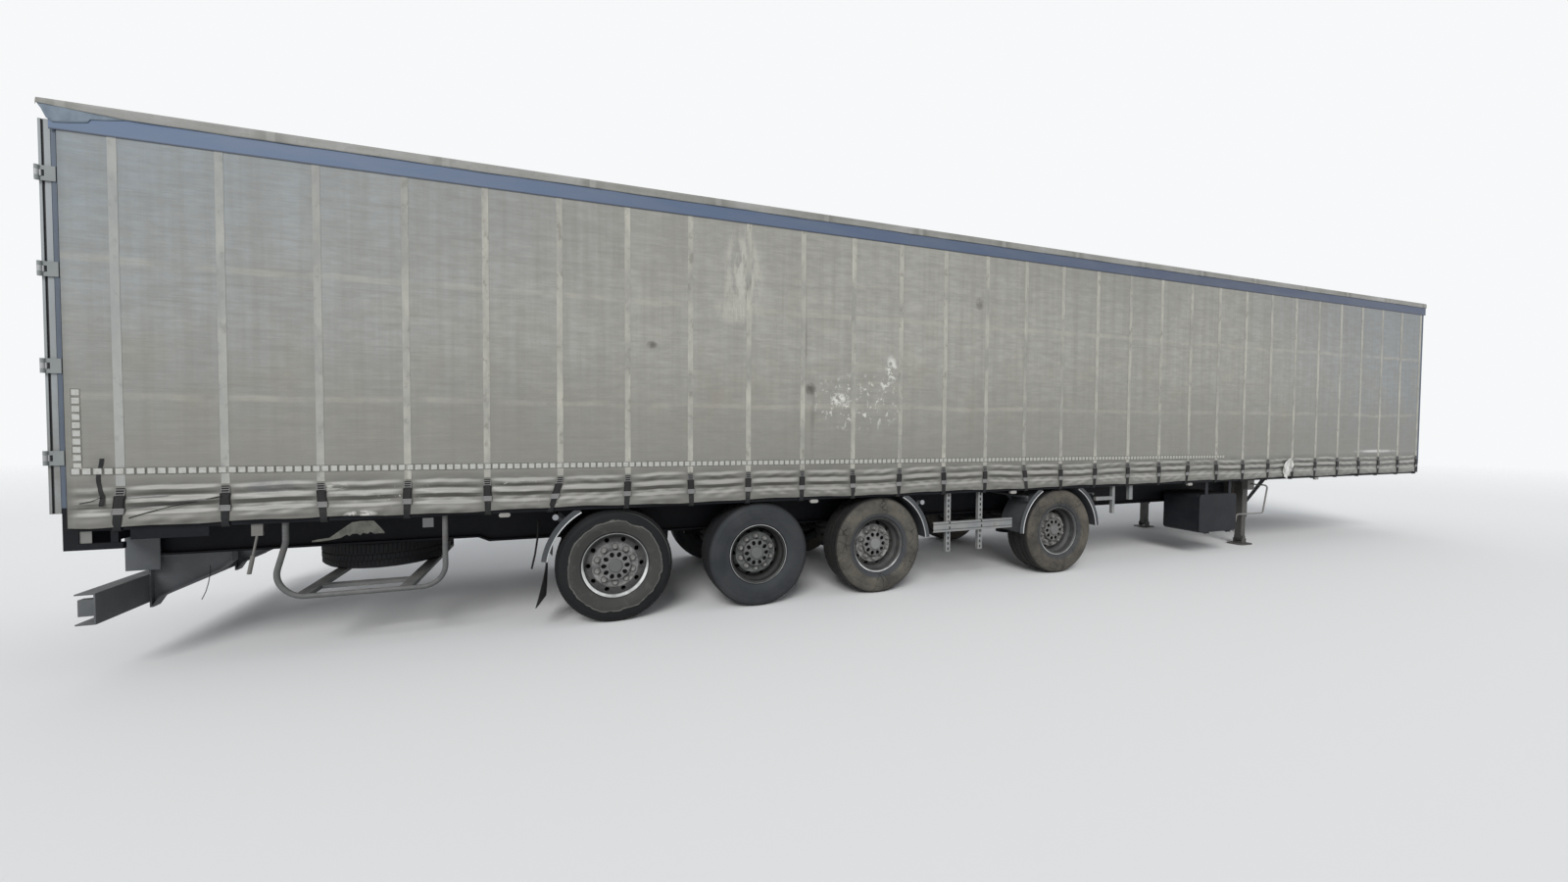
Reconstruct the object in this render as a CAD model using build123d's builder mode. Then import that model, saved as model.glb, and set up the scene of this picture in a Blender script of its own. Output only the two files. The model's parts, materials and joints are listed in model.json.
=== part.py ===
from build123d import *
from math import cos, radians, sin
import os

# Four-axle curtain-sided semi trailer, parked on its wheels and its lowered landing legs.
# Millimetres. +X forward, +Y to the left, +Z up. The origin is on the ground, under the
# middle of the box round the whole trailer.

os.makedirs("parts", exist_ok=True)

# Overall sizes
overall_length = 17265
overall_height = 4000
front_x = overall_length / 2

# Rear doors and their frame, from the back forwards
rod_stand = 44
door_thick = 40
door_gap = 6
door_middle_gap = 8
door_face_x = rod_stand - overall_length / 2
frame_rear_x = door_face_x + door_thick + door_gap
sill_depth = 80
post_flange = 24
post_depth = 110
post_width = 90
post_outer = 1250
post_recess = 42

# Heights of the floor and the roof
floor_top = 1230
floor_thick = 28
bearer_height = 100
bearer_top = floor_top - floor_thick
bearer_bottom = bearer_top - bearer_height
sill_bottom = 935
roof_skin = 3
roof_under = overall_height - roof_skin

# Running gear: the rearmost hub is measured from the door faces, the others from it
rear_overhang = 3712
hub_x = door_face_x + rear_overhang
axle_offsets = [0, 1393, 2768, 5341]
axle_x = [hub_x + offset_x for offset_x in axle_offsets]
tyre_r = 526
tyre_width = 385
tyre_face = 1249
tyre_centre = tyre_face - tyre_width / 2
rim_flange_r = 299
rim_seat_r = 285
rim_well_r = 262
rim_wall = 9
rim_half = 155
running_gap = 0.3
clear_gap = 6

# Main rails
rail_y = 610
rail_flange = 120
rail_flange_thick = 16
rail_web = 10
rail_rear_bottom = 760
rail_bottom = 717
neck_bottom = 1080
rail_rear_x = frame_rear_x + sill_depth
rail_step_x = hub_x - 1200
neck_slope_x = hub_x + 9760
neck_start_x = neck_slope_x + 450
web_face = rail_y - rail_web / 2
web_back = rail_y + rail_web / 2
flange_in = rail_y - rail_flange / 2
flange_out = rail_y + rail_flange / 2

# Side rails, curtains and top rails
rave_outer = 1249
rave_wall = 6
rave_bottom = 1062
rave_ledge = 60
curtain_outer = 1262
curtain_thick = 4
curtain_inner = curtain_outer - curtain_thick
curtain_hem = 1093
cant_outer = 1268
cant_wall = 4
cant_drop = 200
cant_bottom = overall_height - cant_drop
cant_plate_drop = 50
cant_plate_top = overall_height - cant_plate_drop
cant_box_outer = 1240
cant_box_inner = 1180
cant_box_drop = 140
cant_box_bottom = overall_height - cant_box_drop
valance_drop = 75
valance_outer = 1273
pole_r = 20
pole_y = curtain_inner - running_gap - pole_r

# Front wall
front_post_depth = 80
front_wall_back = 60
front_wall_face = 30
front_body_x = front_x - front_post_depth
rear_pole_x = frame_rear_x + post_flange + 36
front_pole_x = front_body_x - pole_r - 8


def keep(piece, node):
    piece.label = node
    export_step(piece, f"parts/{node}.step")


def other_side(right):
    with BuildPart() as left:
        mirror(right, about=Plane.XZ)
    return left.part


def both_sides(right):
    with BuildPart() as pair:
        add(right)
        mirror(right, about=Plane.XZ)
    return pair.part


def join(*pieces):
    with BuildPart() as whole:
        for piece in pieces:
            add(piece)
    return whole.part


def block(x, y, z, mode=Mode.ADD):
    # a box between two values along each axis, inside the sub-part that calls it
    with Locations(((x[0] + x[1]) / 2, (y[0] + y[1]) / 2, (z[0] + z[1]) / 2)):
        Box(x[1] - x[0], y[1] - y[0], z[1] - z[0], mode=mode)


def rod(start, end, radius):
    # a straight round bar between two points
    path = Vector(*end) - Vector(*start)
    with BuildPart() as bar:
        with BuildSketch(Plane(origin=start, z_dir=path)):
            Circle(radius)
        extrude(amount=path.length)
    return bar.part


def plate_xz(points, y_from, y_to):
    # a flat piece with an outline in X and Z
    with BuildPart() as plate:
        with BuildSketch(Plane.XZ.offset(-y_from)):
            with BuildLine():
                Polyline(*points, close=True)
            make_face()
        extrude(amount=y_from - y_to)
    return plate.part


def profile_x(points, x_from, x_to):
    # a profile in Y and Z, drawn out along X
    with BuildPart() as bar:
        with BuildSketch(Plane.YZ.offset(x_from)):
            with BuildLine():
                Polyline(*points, close=True)
            make_face()
        extrude(amount=x_to - x_from)
    return bar.part


def upright(points, z_from, z_to):
    # a profile in X and Y, drawn out upwards
    with BuildPart() as post:
        with BuildSketch(Plane.XY.offset(z_from)):
            with BuildLine():
                Polyline(*points, close=True)
            make_face()
        extrude(amount=z_to - z_from)
    return post.part


# Main rails: two I beams, deep over the running gear, stepped up to a shallow neck in front
rail_profile = [
    (rail_rear_x, bearer_top),
    (rail_rear_x, rail_rear_bottom),
    (rail_step_x, rail_rear_bottom),
    (rail_step_x + 90, rail_bottom),
    (neck_slope_x, rail_bottom),
    (neck_start_x, neck_bottom),
    (front_body_x, neck_bottom),
    (front_body_x, bearer_top),
]
rail_end_cut = 2 * rail_flange_thick + 2
with BuildPart() as main_rails:
    for side in (-1, 1):
        with BuildSketch(Plane.XZ.offset(-side * rail_y - rail_web / 2)):
            with BuildLine():
                Polyline(*rail_profile, close=True)
            make_face()
        extrude(amount=rail_web)
        with BuildSketch(Plane.XZ.offset(-side * rail_y - rail_flange / 2)):
            with BuildLine():
                Polyline(*rail_profile, close=True)
            make_face()
            offset(amount=-rail_flange_thick, kind=Kind.INTERSECTION, mode=Mode.SUBTRACT)
            for end_x, low in ((rail_rear_x, rail_rear_bottom), (front_body_x, neck_bottom)):
                with Locations((end_x, (bearer_top + low) / 2)):
                    Rectangle(rail_end_cut, bearer_top - low - 2 * rail_flange_thick, mode=Mode.SUBTRACT)
        extrude(amount=rail_flange)
keep(main_rails.part, "main_rails")

# Cross-members between the rails' webs: place ahead of the rearmost hub, bottom, height
crossmember_width = 70
crossmember_wall = 8
crossmembers = [
    (-3300, 800, 240),
    (-2850, 800, 240),
    (-1330, 800, 240),
    (560, 750, 260),
    (1953, 750, 260),
    (3328, 750, 260),
    (5901, 750, 260),
    (8300, 750, 260),
    (9530, 770, 260),
]
with BuildPart() as frame_crossmembers:
    for place, low, height in crossmembers:
        x = hub_x + place
        half = crossmember_width / 2
        channel = [
            (x - half, low),
            (x + half, low),
            (x + half, low + crossmember_wall),
            (x - half + crossmember_wall, low + crossmember_wall),
            (x - half + crossmember_wall, low + height - crossmember_wall),
            (x + half, low + height - crossmember_wall),
            (x + half, low + height),
            (x - half, low + height),
        ]
        with BuildSketch(Plane.XZ.offset(-web_face)):
            with BuildLine():
                Polyline(*channel, close=True)
            make_face()
    extrude(amount=2 * web_face)
keep(frame_crossmembers.part, "frame_crossmembers")

# Floor bearers: channels from rail to rail, and outriggers from the rails to the side rails
bearer_count = 22
bearer_width = 50
bearer_wall = 6
bearer_first = rail_rear_x + 330
bearer_last = front_body_x - 330
bearer_spans = [
    (-(rave_outer - rave_ledge), -flange_out),
    (-flange_in, flange_in),
    (flange_out, rave_outer - rave_ledge),
]
bearer_profile = [
    (0, bearer_bottom),
    (bearer_width, bearer_bottom),
    (bearer_width, bearer_bottom + bearer_wall),
    (bearer_wall, bearer_bottom + bearer_wall),
    (bearer_wall, bearer_top - bearer_wall),
    (bearer_width, bearer_top - bearer_wall),
    (bearer_width, bearer_top),
    (0, bearer_top),
]
bearer_step = (bearer_last - bearer_first) / (bearer_count - 1)
with BuildPart() as floor_bearers:
    for start, end in bearer_spans:
        with BuildSketch(Plane.XZ.offset(-end)):
            with Locations(*[(bearer_first + number * bearer_step, 0) for number in range(bearer_count)]):
                Polygon(*bearer_profile, align=None)
        extrude(amount=end - start)
keep(floor_bearers.part, "floor_bearers")

# Side rails: a web with a ledge under the floor and a lip at the bottom
rave_in = rave_outer - rave_wall
rave_back = rave_outer - rave_ledge
rave_profile = [
    (-rave_outer, rave_bottom),
    (-rave_back, rave_bottom),
    (-rave_back, rave_bottom + rave_wall),
    (-rave_in, rave_bottom + rave_wall),
    (-rave_in, bearer_top - rave_wall),
    (-rave_back, bearer_top - rave_wall),
    (-rave_back, bearer_top),
    (-rave_in, bearer_top),
    (-rave_in, floor_top),
    (-rave_outer, floor_top),
]
side_rail = profile_x(rave_profile, rail_rear_x, front_body_x)
skirt_offsets = (-3318, -2885)
skirt_bottom = 990
with BuildPart() as skirt:
    block(
        (hub_x + skirt_offsets[0], hub_x + skirt_offsets[1]),
        (-rave_outer, -rave_outer + 8),
        (skirt_bottom, rave_bottom),
    )
keep(both_sides(join(side_rail, skirt.part)), "side_rails")

with BuildPart() as floor_deck:
    block((rail_rear_x, front_body_x), (-rave_in, rave_in), (bearer_top, floor_top))
keep(floor_deck.part, "floor_deck")

# Rear frame: a sill, two posts with a recess for the curtain's pole, and a header
keeper_width = 60
keeper_height = 30
keeper_reach = door_thick + door_gap + 29
rod_places = [300, 950]
hinge_pin_y = 1262
hinge_pin_x = door_face_x - 20
door_bottom = 1190
door_top = overall_height - 130
rod_bottom = door_bottom - 38
rod_top = door_top + 7
keeper_low = rod_bottom - 10 - keeper_height
keeper_high = rod_top + 8
rod_sides = [side * (hinge_pin_y - place) for side in (-1, 1) for place in rod_places]


def keepers(low):
    # blocks behind the rear frame that take the ends of the lock rods
    for y in rod_sides:
        block(
            (frame_rear_x - keeper_reach, frame_rear_x),
            (y - keeper_width / 2, y + keeper_width / 2),
            (low, low + keeper_height),
        )


with BuildPart() as rear_sill:
    block((frame_rear_x, rail_rear_x), (-post_outer, post_outer), (sill_bottom, floor_top))
    keepers(keeper_low)
with BuildPart() as front_sill:
    block((front_body_x, front_x), (-rave_outer, rave_outer), (neck_bottom, floor_top))
    fillet(front_sill.edges().filter_by(Axis.Z).sort_by(Axis.X)[-2:], radius=30)
corner_bar_x = frame_rear_x + 308
corner_bar_z = (930, 975)
with BuildPart() as corner_bar:
    block((frame_rear_x, corner_bar_x), (-post_outer, -post_outer + 35), corner_bar_z)
    block(
        (corner_bar_x - 68, corner_bar_x - 28),
        (-post_outer + 8, -post_outer + 35),
        (corner_bar_z[0], rave_bottom),
    )
keep(join(rear_sill.part, front_sill.part, both_sides(corner_bar.part)), "end_sills")

post_in = -post_outer + post_recess + post_width
post_step = -post_outer + post_recess + 30
post_plan = [
    (frame_rear_x, -post_outer),
    (frame_rear_x + post_flange, -post_outer),
    (frame_rear_x + post_flange, post_step),
    (frame_rear_x + post_depth, post_step),
    (frame_rear_x + post_depth, post_in),
    (frame_rear_x, post_in),
]
front_post_width = 90
front_post_outer = 1255
with BuildPart() as front_post:
    block(
        (front_body_x, front_x),
        (-front_post_outer, -front_post_outer + front_post_width),
        (floor_top, cant_box_bottom),
    )
    corner = front_post.edges().filter_by(Axis.Z).sort_by(Axis.X)[-2:].sort_by(Axis.Y)[0]
    fillet(corner, radius=35)
rear_post = upright(post_plan, floor_top, cant_box_bottom)
keep(join(both_sides(rear_post), both_sides(front_post.part)), "corner_posts")

front_header_x = (front_body_x, front_x - roof_skin - 1)
with BuildPart() as end_headers:
    for x in ((frame_rear_x, frame_rear_x + post_depth), front_header_x):
        block(x, (-cant_box_inner, cant_box_inner), (cant_box_bottom, roof_under))
    keepers(keeper_high)
keep(end_headers.part, "end_headers")

# Front wall of level planks with shallow grooves between them
plank_count = 9
plank_groove = 8
plank_height = (cant_box_bottom - floor_top) / plank_count
wall_half = front_post_outer - front_post_width
with BuildPart() as front_wall:
    block(
        (front_x - front_wall_back, front_x - front_wall_face),
        (-wall_half, wall_half),
        (floor_top, cant_box_bottom),
    )
    for seam in range(1, plank_count):
        z = floor_top + seam * plank_height
        for face in (front_x - front_wall_back, front_x - front_wall_face):
            block(
                (face - 4, face + 4),
                (-wall_half, wall_half),
                (z - plank_groove / 2, z + plank_groove / 2),
                mode=Mode.SUBTRACT,
            )
keep(front_wall.part, "front_wall")

# Top rails: an outer lip in front of the curtain's top, a track plate and an inner box
cant_profile = [
    (-cant_outer, cant_bottom),
    (-cant_outer + cant_wall, cant_bottom),
    (-cant_outer + cant_wall, cant_plate_top - cant_wall),
    (-cant_box_outer, cant_plate_top - cant_wall),
    (-cant_box_outer, cant_box_bottom),
    (-cant_box_inner, cant_box_bottom),
    (-cant_box_inner, roof_under),
    (-cant_box_outer, roof_under),
    (-cant_box_outer, cant_plate_top),
    (-cant_outer, cant_plate_top),
]
cant_rail = profile_x(cant_profile, frame_rear_x, front_x - roof_skin - 1)
keep(both_sides(cant_rail), "cant_rails")

# Roof bows between the top rails, and the roof tarpaulin with its valances
bow_count = 14
bow_width = 50
bow_height = 36
bow_rear_gap = 1200
bow_front_gap = 1100
bow_first = frame_rear_x + bow_rear_gap
bow_last = front_body_x - bow_front_gap
with BuildPart() as roof_bows:
    for number in range(bow_count):
        x = bow_first + (bow_last - bow_first) * number / (bow_count - 1)
        block(
            (x - bow_width / 2, x + bow_width / 2),
            (-cant_box_inner, cant_box_inner),
            (roof_under - bow_height, roof_under),
        )
keep(roof_bows.part, "roof_bows")

end_valance_drop = 26
tarp_rear_x = frame_rear_x - roof_skin - 1
with BuildPart() as roof_tarpaulin:
    block((tarp_rear_x, front_x), (-valance_outer, valance_outer), (roof_under, overall_height))
    for side in (-1, 1):
        block(
            (tarp_rear_x, front_x),
            sorted((side * valance_outer, side * (valance_outer - roof_skin))),
            (overall_height - valance_drop, overall_height),
        )
    for x in (tarp_rear_x, front_x - roof_skin):
        block(
            (x, x + roof_skin),
            (-valance_outer, valance_outer),
            (overall_height - end_valance_drop, overall_height),
        )
keep(roof_tarpaulin.part, "roof_tarpaulin")

# Curtains, the poles that stretch them, and the sliding posts behind them
curtain_x = (rear_pole_x - pole_r, front_pole_x + pole_r)
with BuildPart() as curtain_right:
    block(curtain_x, (-curtain_outer, -curtain_inner), (curtain_hem, cant_plate_top - cant_wall))
keep(curtain_right.part, "curtain_right")
keep(other_side(curtain_right.part), "curtain_left")

side_post_offsets = [-490, 2990, 6470, 9950]
side_post_length = 70
side_post_y = (1196, 1236)
with BuildPart() as curtain_posts:
    with BuildSketch(Plane.XY.offset(floor_top)):
        with Locations(*[(x, y) for x in (rear_pole_x, front_pole_x) for y in (-pole_y, pole_y)]):
            Circle(pole_r)
        for y in (-sum(side_post_y) / 2, sum(side_post_y) / 2):
            with Locations(*[(hub_x + place, y) for place in side_post_offsets]):
                Rectangle(side_post_length, side_post_y[1] - side_post_y[0])
    extrude(amount=cant_box_bottom - floor_top)
keep(curtain_posts.part, "curtain_posts")

# Buckles along the hem: a strap that hooks under the side rail, and an over-centre buckle
buckle_first = hub_x - 3354
buckle_pitch = 577
strap_width = 46
strap_thick = 3
strap_top = 1360
strap_face = curtain_outer + running_gap
hook_depth = 22
buckle_width = 60
buckle_count = 1 + int((curtain_x[1] - buckle_width / 2 - buckle_first) // buckle_pitch)
buckle_z = (1168, 1252)
buckle_thick = 9.5
strap_profile = [
    (-strap_face, strap_top),
    (-strap_face, curtain_hem - 10),
    (-rave_outer - 1, rave_bottom - 1),
    (-rave_outer + hook_depth, rave_bottom),
    (-rave_outer + hook_depth, rave_bottom - strap_thick),
    (-rave_outer - 1 - strap_thick, rave_bottom - strap_thick - 1),
    (-strap_face - strap_thick, curtain_hem - 10),
    (-strap_face - strap_thick, strap_top),
]
with BuildPart() as buckle:
    with BuildSketch(Plane.YZ.offset(-strap_width / 2)):
        with BuildLine():
            Polyline(*strap_profile, close=True)
        make_face()
    extrude(amount=strap_width)
    block(
        (-buckle_width / 2, buckle_width / 2),
        (-strap_face - strap_thick - buckle_thick, -strap_face),
        buckle_z,
    )
buckle_pair = both_sides(buckle.part)
with BuildPart() as buckles:
    with Locations(*[(buckle_first + number * buckle_pitch, 0, 0) for number in range(buckle_count)]):
        add(buckle_pair)
keep(buckles.part, "buckles")

# Side marker lamps on the side rails
marker_offsets = [-918, 1984, 4592, 7687, 10590]
marker_length = 90
marker_height = 36
marker_back = 30
marker_z = rave_bottom - marker_height / 2
with BuildPart() as side_markers:
    for side in (-1, 1):
        with BuildSketch(Plane.XZ.offset(-side * (rave_outer - marker_back))):
            with Locations(*[(hub_x + place, marker_z) for place in marker_offsets]):
                SlotOverall(marker_length, marker_height)
        extrude(amount=-side * marker_back)
keep(side_markers.part, "side_markers")

# Rear doors: a panel with a raised frame, two lock rods and four hinge straps each
door_edge = 1244
hinge_heights = [1576, 2207, 2862, door_top - 367]
edge_proud = 20
edge_width = 30
edge_groove = (-6, 9)
edge_groove_depth = 8
pin_r = 8
knuckle_r = 12
strap_reach = 180
door_strap_thick = 10
door_strap_height = 40
bracket_height = 100
leaf_thick = 8
rod_r = 14
with BuildPart() as door_panel:
    block(
        (door_face_x, door_face_x + door_thick),
        (-door_edge, -door_middle_gap / 2),
        (door_bottom, door_top),
    )
    block(
        (door_face_x - 1, door_face_x + 5),
        (-door_edge + 70, -door_middle_gap / 2 - 70),
        (door_bottom + 70, door_top - 70),
        mode=Mode.SUBTRACT,
    )
    block(
        (door_face_x - edge_proud, door_face_x),
        (-door_edge, -door_edge + edge_width),
        (door_bottom, door_top),
    )
    for z in hinge_heights:
        block(
            (door_face_x - edge_proud, door_face_x),
            (-door_edge, -door_edge + edge_width),
            (z - door_strap_height / 2 - 1, z + door_strap_height / 2 + 1),
            mode=Mode.SUBTRACT,
        )
    block(
        (door_face_x + edge_groove[0], door_face_x + edge_groove[1]),
        (-door_edge, -door_edge + edge_groove_depth),
        (door_bottom, door_top),
        mode=Mode.SUBTRACT,
    )
keep(door_panel.part, "door_panel_right")
keep(other_side(door_panel.part), "door_panel_left")

guide_heights = [1220, 1900, 3100, door_top - 70]
rod_x = door_face_x - rod_stand + rod_r
handle_z = 1420
handle_length = 300
with BuildPart() as door_fittings:
    for place, reach in zip(rod_places, (handle_length, -handle_length)):
        y = -hinge_pin_y + place
        with BuildSketch(Plane.XY.offset(rod_bottom)):
            with Locations((rod_x, y)):
                Circle(rod_r)
        extrude(amount=rod_top - rod_bottom)
        for z in guide_heights:
            block((rod_x - rod_r, door_face_x), (y - 30, y + 30), (z - 25, z + 25))
        block(
            (rod_x - rod_r, rod_x - rod_r + 12),
            sorted((y, y + reach)),
            (handle_z - 15, handle_z + 15),
        )
    for z in hinge_heights:
        low = z - door_strap_height / 2
        with BuildSketch(Plane.XY.offset(low)):
            with Locations((hinge_pin_x, -hinge_pin_y)):
                Circle(knuckle_r)
            with Locations((door_face_x - door_strap_thick / 2, -hinge_pin_y + strap_reach / 2)):
                Rectangle(door_strap_thick, strap_reach)
            with Locations((hinge_pin_x, -hinge_pin_y)):
                Circle(pin_r + running_gap, mode=Mode.SUBTRACT)
        extrude(amount=door_strap_height)
keep(door_fittings.part, "door_fittings_right")
keep(other_side(door_fittings.part), "door_fittings_left")

# Hinge brackets on the rear posts, with their pins
bracket_gap = 1
bracket_knuckle = (bracket_height - door_strap_height) / 2 - bracket_gap
with BuildPart() as hinge_bracket:
    for z in hinge_heights:
        low = z - bracket_height / 2
        with BuildSketch(Plane.XY.offset(low)):
            with Locations((hinge_pin_x, -hinge_pin_y)):
                Circle(pin_r)
        extrude(amount=bracket_height)
        for knuckle_low in (low, low + bracket_height - bracket_knuckle):
            with BuildSketch(Plane.XY.offset(knuckle_low)):
                with Locations((hinge_pin_x, -hinge_pin_y)):
                    Circle(knuckle_r)
            extrude(amount=bracket_knuckle)
            block(
                (hinge_pin_x, door_face_x + 14),
                (-post_outer - leaf_thick, -post_outer),
                (knuckle_low, knuckle_low + bracket_knuckle),
            )
        block(
            (door_face_x + 14, frame_rear_x + post_flange),
            (-post_outer - leaf_thick, -post_outer),
            (low, low + bracket_height),
        )
keep(both_sides(hinge_bracket.part), "hinge_brackets")

# Tyre and wheel sections, as radius and distance from the trailer's middle
bead_half = rim_half - 14
tyre_bore = rim_seat_r + running_gap
with BuildPart() as tyre:
    with BuildSketch(Plane.XY):
        with BuildLine():
            Line((tyre_bore, tyre_centre - bead_half), (tyre_bore, tyre_centre + bead_half))
            for side in (-1, 1):
                Polyline(
                    (tyre_bore, tyre_centre + side * bead_half),
                    (rim_flange_r + 3, tyre_centre + side * bead_half),
                    (rim_flange_r + 8, tyre_centre + side * (rim_half + 2)),
                )
                ThreePointArc(
                    (rim_flange_r + 8, tyre_centre + side * (rim_half + 2)),
                    (rim_flange_r + 120, tyre_centre + side * tyre_width / 2),
                    (tyre_r - 34, tyre_centre + side * (tyre_width / 2 - 14)),
                )
                Line(
                    (tyre_r - 34, tyre_centre + side * (tyre_width / 2 - 14)),
                    (tyre_r - 4, tyre_centre + side * (tyre_width / 2 - 40)),
                )
            ThreePointArc(
                (tyre_r - 4, tyre_centre - tyre_width / 2 + 40),
                (tyre_r, tyre_centre),
                (tyre_r - 4, tyre_centre + tyre_width / 2 - 40),
            )
        make_face()
    revolve(axis=Axis.Y)

spindle_r = 35
hub_bore = spindle_r + running_gap
drum_r = 205
drum_back = 876
drum_front = 1045
disc_thick = 14
hub_r = 138
hub_reach = 48
cap_r = 62
cap_reach = 70
bore_reach = 40
hand_holes = 10
hand_hole_r = 21
hub_slots = 10
hub_slot = (50, 32)
hub_slot_depth = 36


def rim_section():
    low = tyre_centre - rim_half
    high = tyre_centre + rim_half
    outside = [
        (rim_flange_r, low),
        (rim_flange_r, low + 9),
        (rim_seat_r, low + 13),
        (rim_seat_r, low + 60),
        (rim_well_r, low + 85),
        (rim_well_r, high - 112),
        (rim_seat_r, high - 80),
        (rim_seat_r, high - 13),
        (rim_flange_r, high - 9),
        (rim_flange_r, high),
    ]
    inside = [
        (rim_flange_r - rim_wall, high),
        (rim_seat_r - rim_wall, high - 10),
        (rim_seat_r - rim_wall, high - 80),
        (rim_well_r - rim_wall, high - 112),
        (rim_well_r - rim_wall, low + 85),
        (rim_seat_r - rim_wall, low + 60),
        (rim_seat_r - rim_wall, low + 10),
        (rim_flange_r - rim_wall, low),
    ]
    return outside + inside


def make_wheel(disc_face, disc_r, hand_ring_r, edge_drop):
    disc_back = disc_face - disc_thick
    centre_section = [
        (hub_bore, drum_back),
        (drum_r, drum_back),
        (drum_r, drum_front),
        (drum_r - 10, drum_front + 10),
        (drum_r - 10, disc_back),
        (drum_r - 4, disc_back),
        (disc_r, disc_back - edge_drop),
        (disc_r, disc_face - edge_drop),
        (drum_r + 3, disc_face),
        (hub_r + 3, disc_face),
        (hub_r, disc_face + hub_reach - 6),
        (hub_r - 8, disc_face + hub_reach),
        (cap_r + 2, disc_face + hub_reach + 4),
        (cap_r, disc_face + cap_reach - 8),
        (cap_r - 8, disc_face + cap_reach),
        (0, disc_face + cap_reach),
        (0, disc_face + bore_reach),
        (hub_bore, disc_face + bore_reach),
    ]
    with BuildPart() as wheel:
        with BuildSketch(Plane.XY):
            for section in (rim_section(), centre_section):
                with BuildLine():
                    Polyline(*section, close=True)
                make_face()
        revolve(axis=Axis.Y)
        with BuildSketch(Plane.XZ.offset(-disc_face)):
            with PolarLocations(hand_ring_r, hand_holes):
                Circle(hand_hole_r)
        extrude(amount=disc_thick + edge_drop, mode=Mode.SUBTRACT)
        with BuildSketch(Plane.XZ.offset(-disc_face - hub_reach - 5)):
            with PolarLocations((cap_r + hub_r) / 2 + 4, hub_slots):
                SlotOverall(*hub_slot)
        extrude(amount=hub_slot_depth + 5, mode=Mode.SUBTRACT)
    return wheel.part


# The rearmost wheels carry their discs near the outer face, the others deep in the rim
flush_disc = (tyre_face - 79, rim_seat_r - rim_wall + 1, 240, 16)
dished_disc = (tyre_face - 157, rim_well_r - rim_wall + 1, 230, 52)
wheel_discs = [flush_disc, dished_disc, dished_disc, dished_disc]
flush_wheel = make_wheel(*flush_disc)
dished_wheel = make_wheel(*dished_disc)
for number, x in enumerate(axle_x, start=1):
    wheel = flush_wheel if wheel_discs[number - 1] is flush_disc else dished_wheel
    for piece, name in ((wheel, "wheel"), (tyre.part, "tyre")):
        with BuildPart() as left_piece:
            with Locations((x, 0, tyre_r)):
                add(piece)
        keep(left_piece.part, f"{name}_{number}_left")
        keep(other_side(left_piece.part), f"{name}_{number}_right")

# Axles: a square beam with a flange, a spindle and two brake chambers at each end
beam = 120
flange_r = 190
axle_flange = (850, drum_back - 10)
chamber_r = 85
chamber_length = 170
chamber_y = 430
arm_width = 70
arm_top = tyre_r - beam / 2


def make_axle(x, spindle_end):
    with BuildPart() as axle:
        block(
            (x - beam / 2, x + beam / 2),
            (-axle_flange[1], axle_flange[1]),
            (tyre_r - beam / 2, tyre_r + beam / 2),
        )
        fillet(axle.edges().filter_by(Axis.Y), radius=14)
        for side in (-1, 1):
            with BuildSketch(Plane.XZ.offset(-side * axle_flange[0])):
                with Locations((x, tyre_r)):
                    Circle(flange_r)
            extrude(amount=-side * (axle_flange[1] - axle_flange[0]))
            with BuildSketch(Plane.XZ.offset(-side * axle_flange[0])):
                with Locations((x, tyre_r)):
                    Circle(spindle_r)
            extrude(amount=-side * (spindle_end - axle_flange[0]))
            block(
                (x - 150, x),
                sorted((side * (chamber_y - 12), side * (chamber_y + 12))),
                (tyre_r - 30, tyre_r + 50),
            )
            with BuildSketch(Plane.XZ.offset(-side * (chamber_y - chamber_length / 2))):
                with Locations((x - 150, tyre_r + 20)):
                    Circle(chamber_r)
            extrude(amount=-side * chamber_length)
    return axle.part


axle_pieces = [make_axle(x, disc[0] + bore_reach - clear_gap) for x, disc in zip(axle_x, wheel_discs)]
keep(join(*axle_pieces), "axles")

# Suspension: hanger brackets ahead of each axle, trailing arms under it, air springs behind
hanger_ahead = 500
hanger_pin_z = 431
hanger_pin_r = 15
arm_eye_r = 42
bag_behind = 330
hanger_plate = 10
bag_seat_x = 90
hanger_inner = arm_width / 2 + 1
with BuildPart() as hanger:
    for face in (-1, 1):
        with BuildSketch(Plane.XZ.offset(-face * hanger_inner)):
            with BuildLine():
                Polyline(
                    (hanger_ahead - 90, rail_bottom),
                    (hanger_ahead + 70, rail_bottom),
                    (hanger_ahead + 48, hanger_pin_z - 48),
                    (hanger_ahead - 48, hanger_pin_z - 48),
                    close=True,
                )
            make_face()
        extrude(amount=-face * hanger_plate)
    block(
        (hanger_ahead - 90, hanger_ahead + 70),
        (-hanger_inner, hanger_inner),
        (rail_bottom - hanger_plate, rail_bottom),
    )
    with BuildSketch(Plane.XZ.offset(-hanger_inner)):
        with Locations((hanger_ahead, hanger_pin_z)):
            Circle(hanger_pin_r)
    extrude(amount=2 * hanger_inner)
suspension_places = [(x, side * rail_y, 0) for x in axle_x for side in (-1, 1)]
with BuildPart() as spring_hangers:
    with Locations(*suspension_places):
        add(hanger.part)
keep(spring_hangers.part, "spring_hangers")

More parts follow.
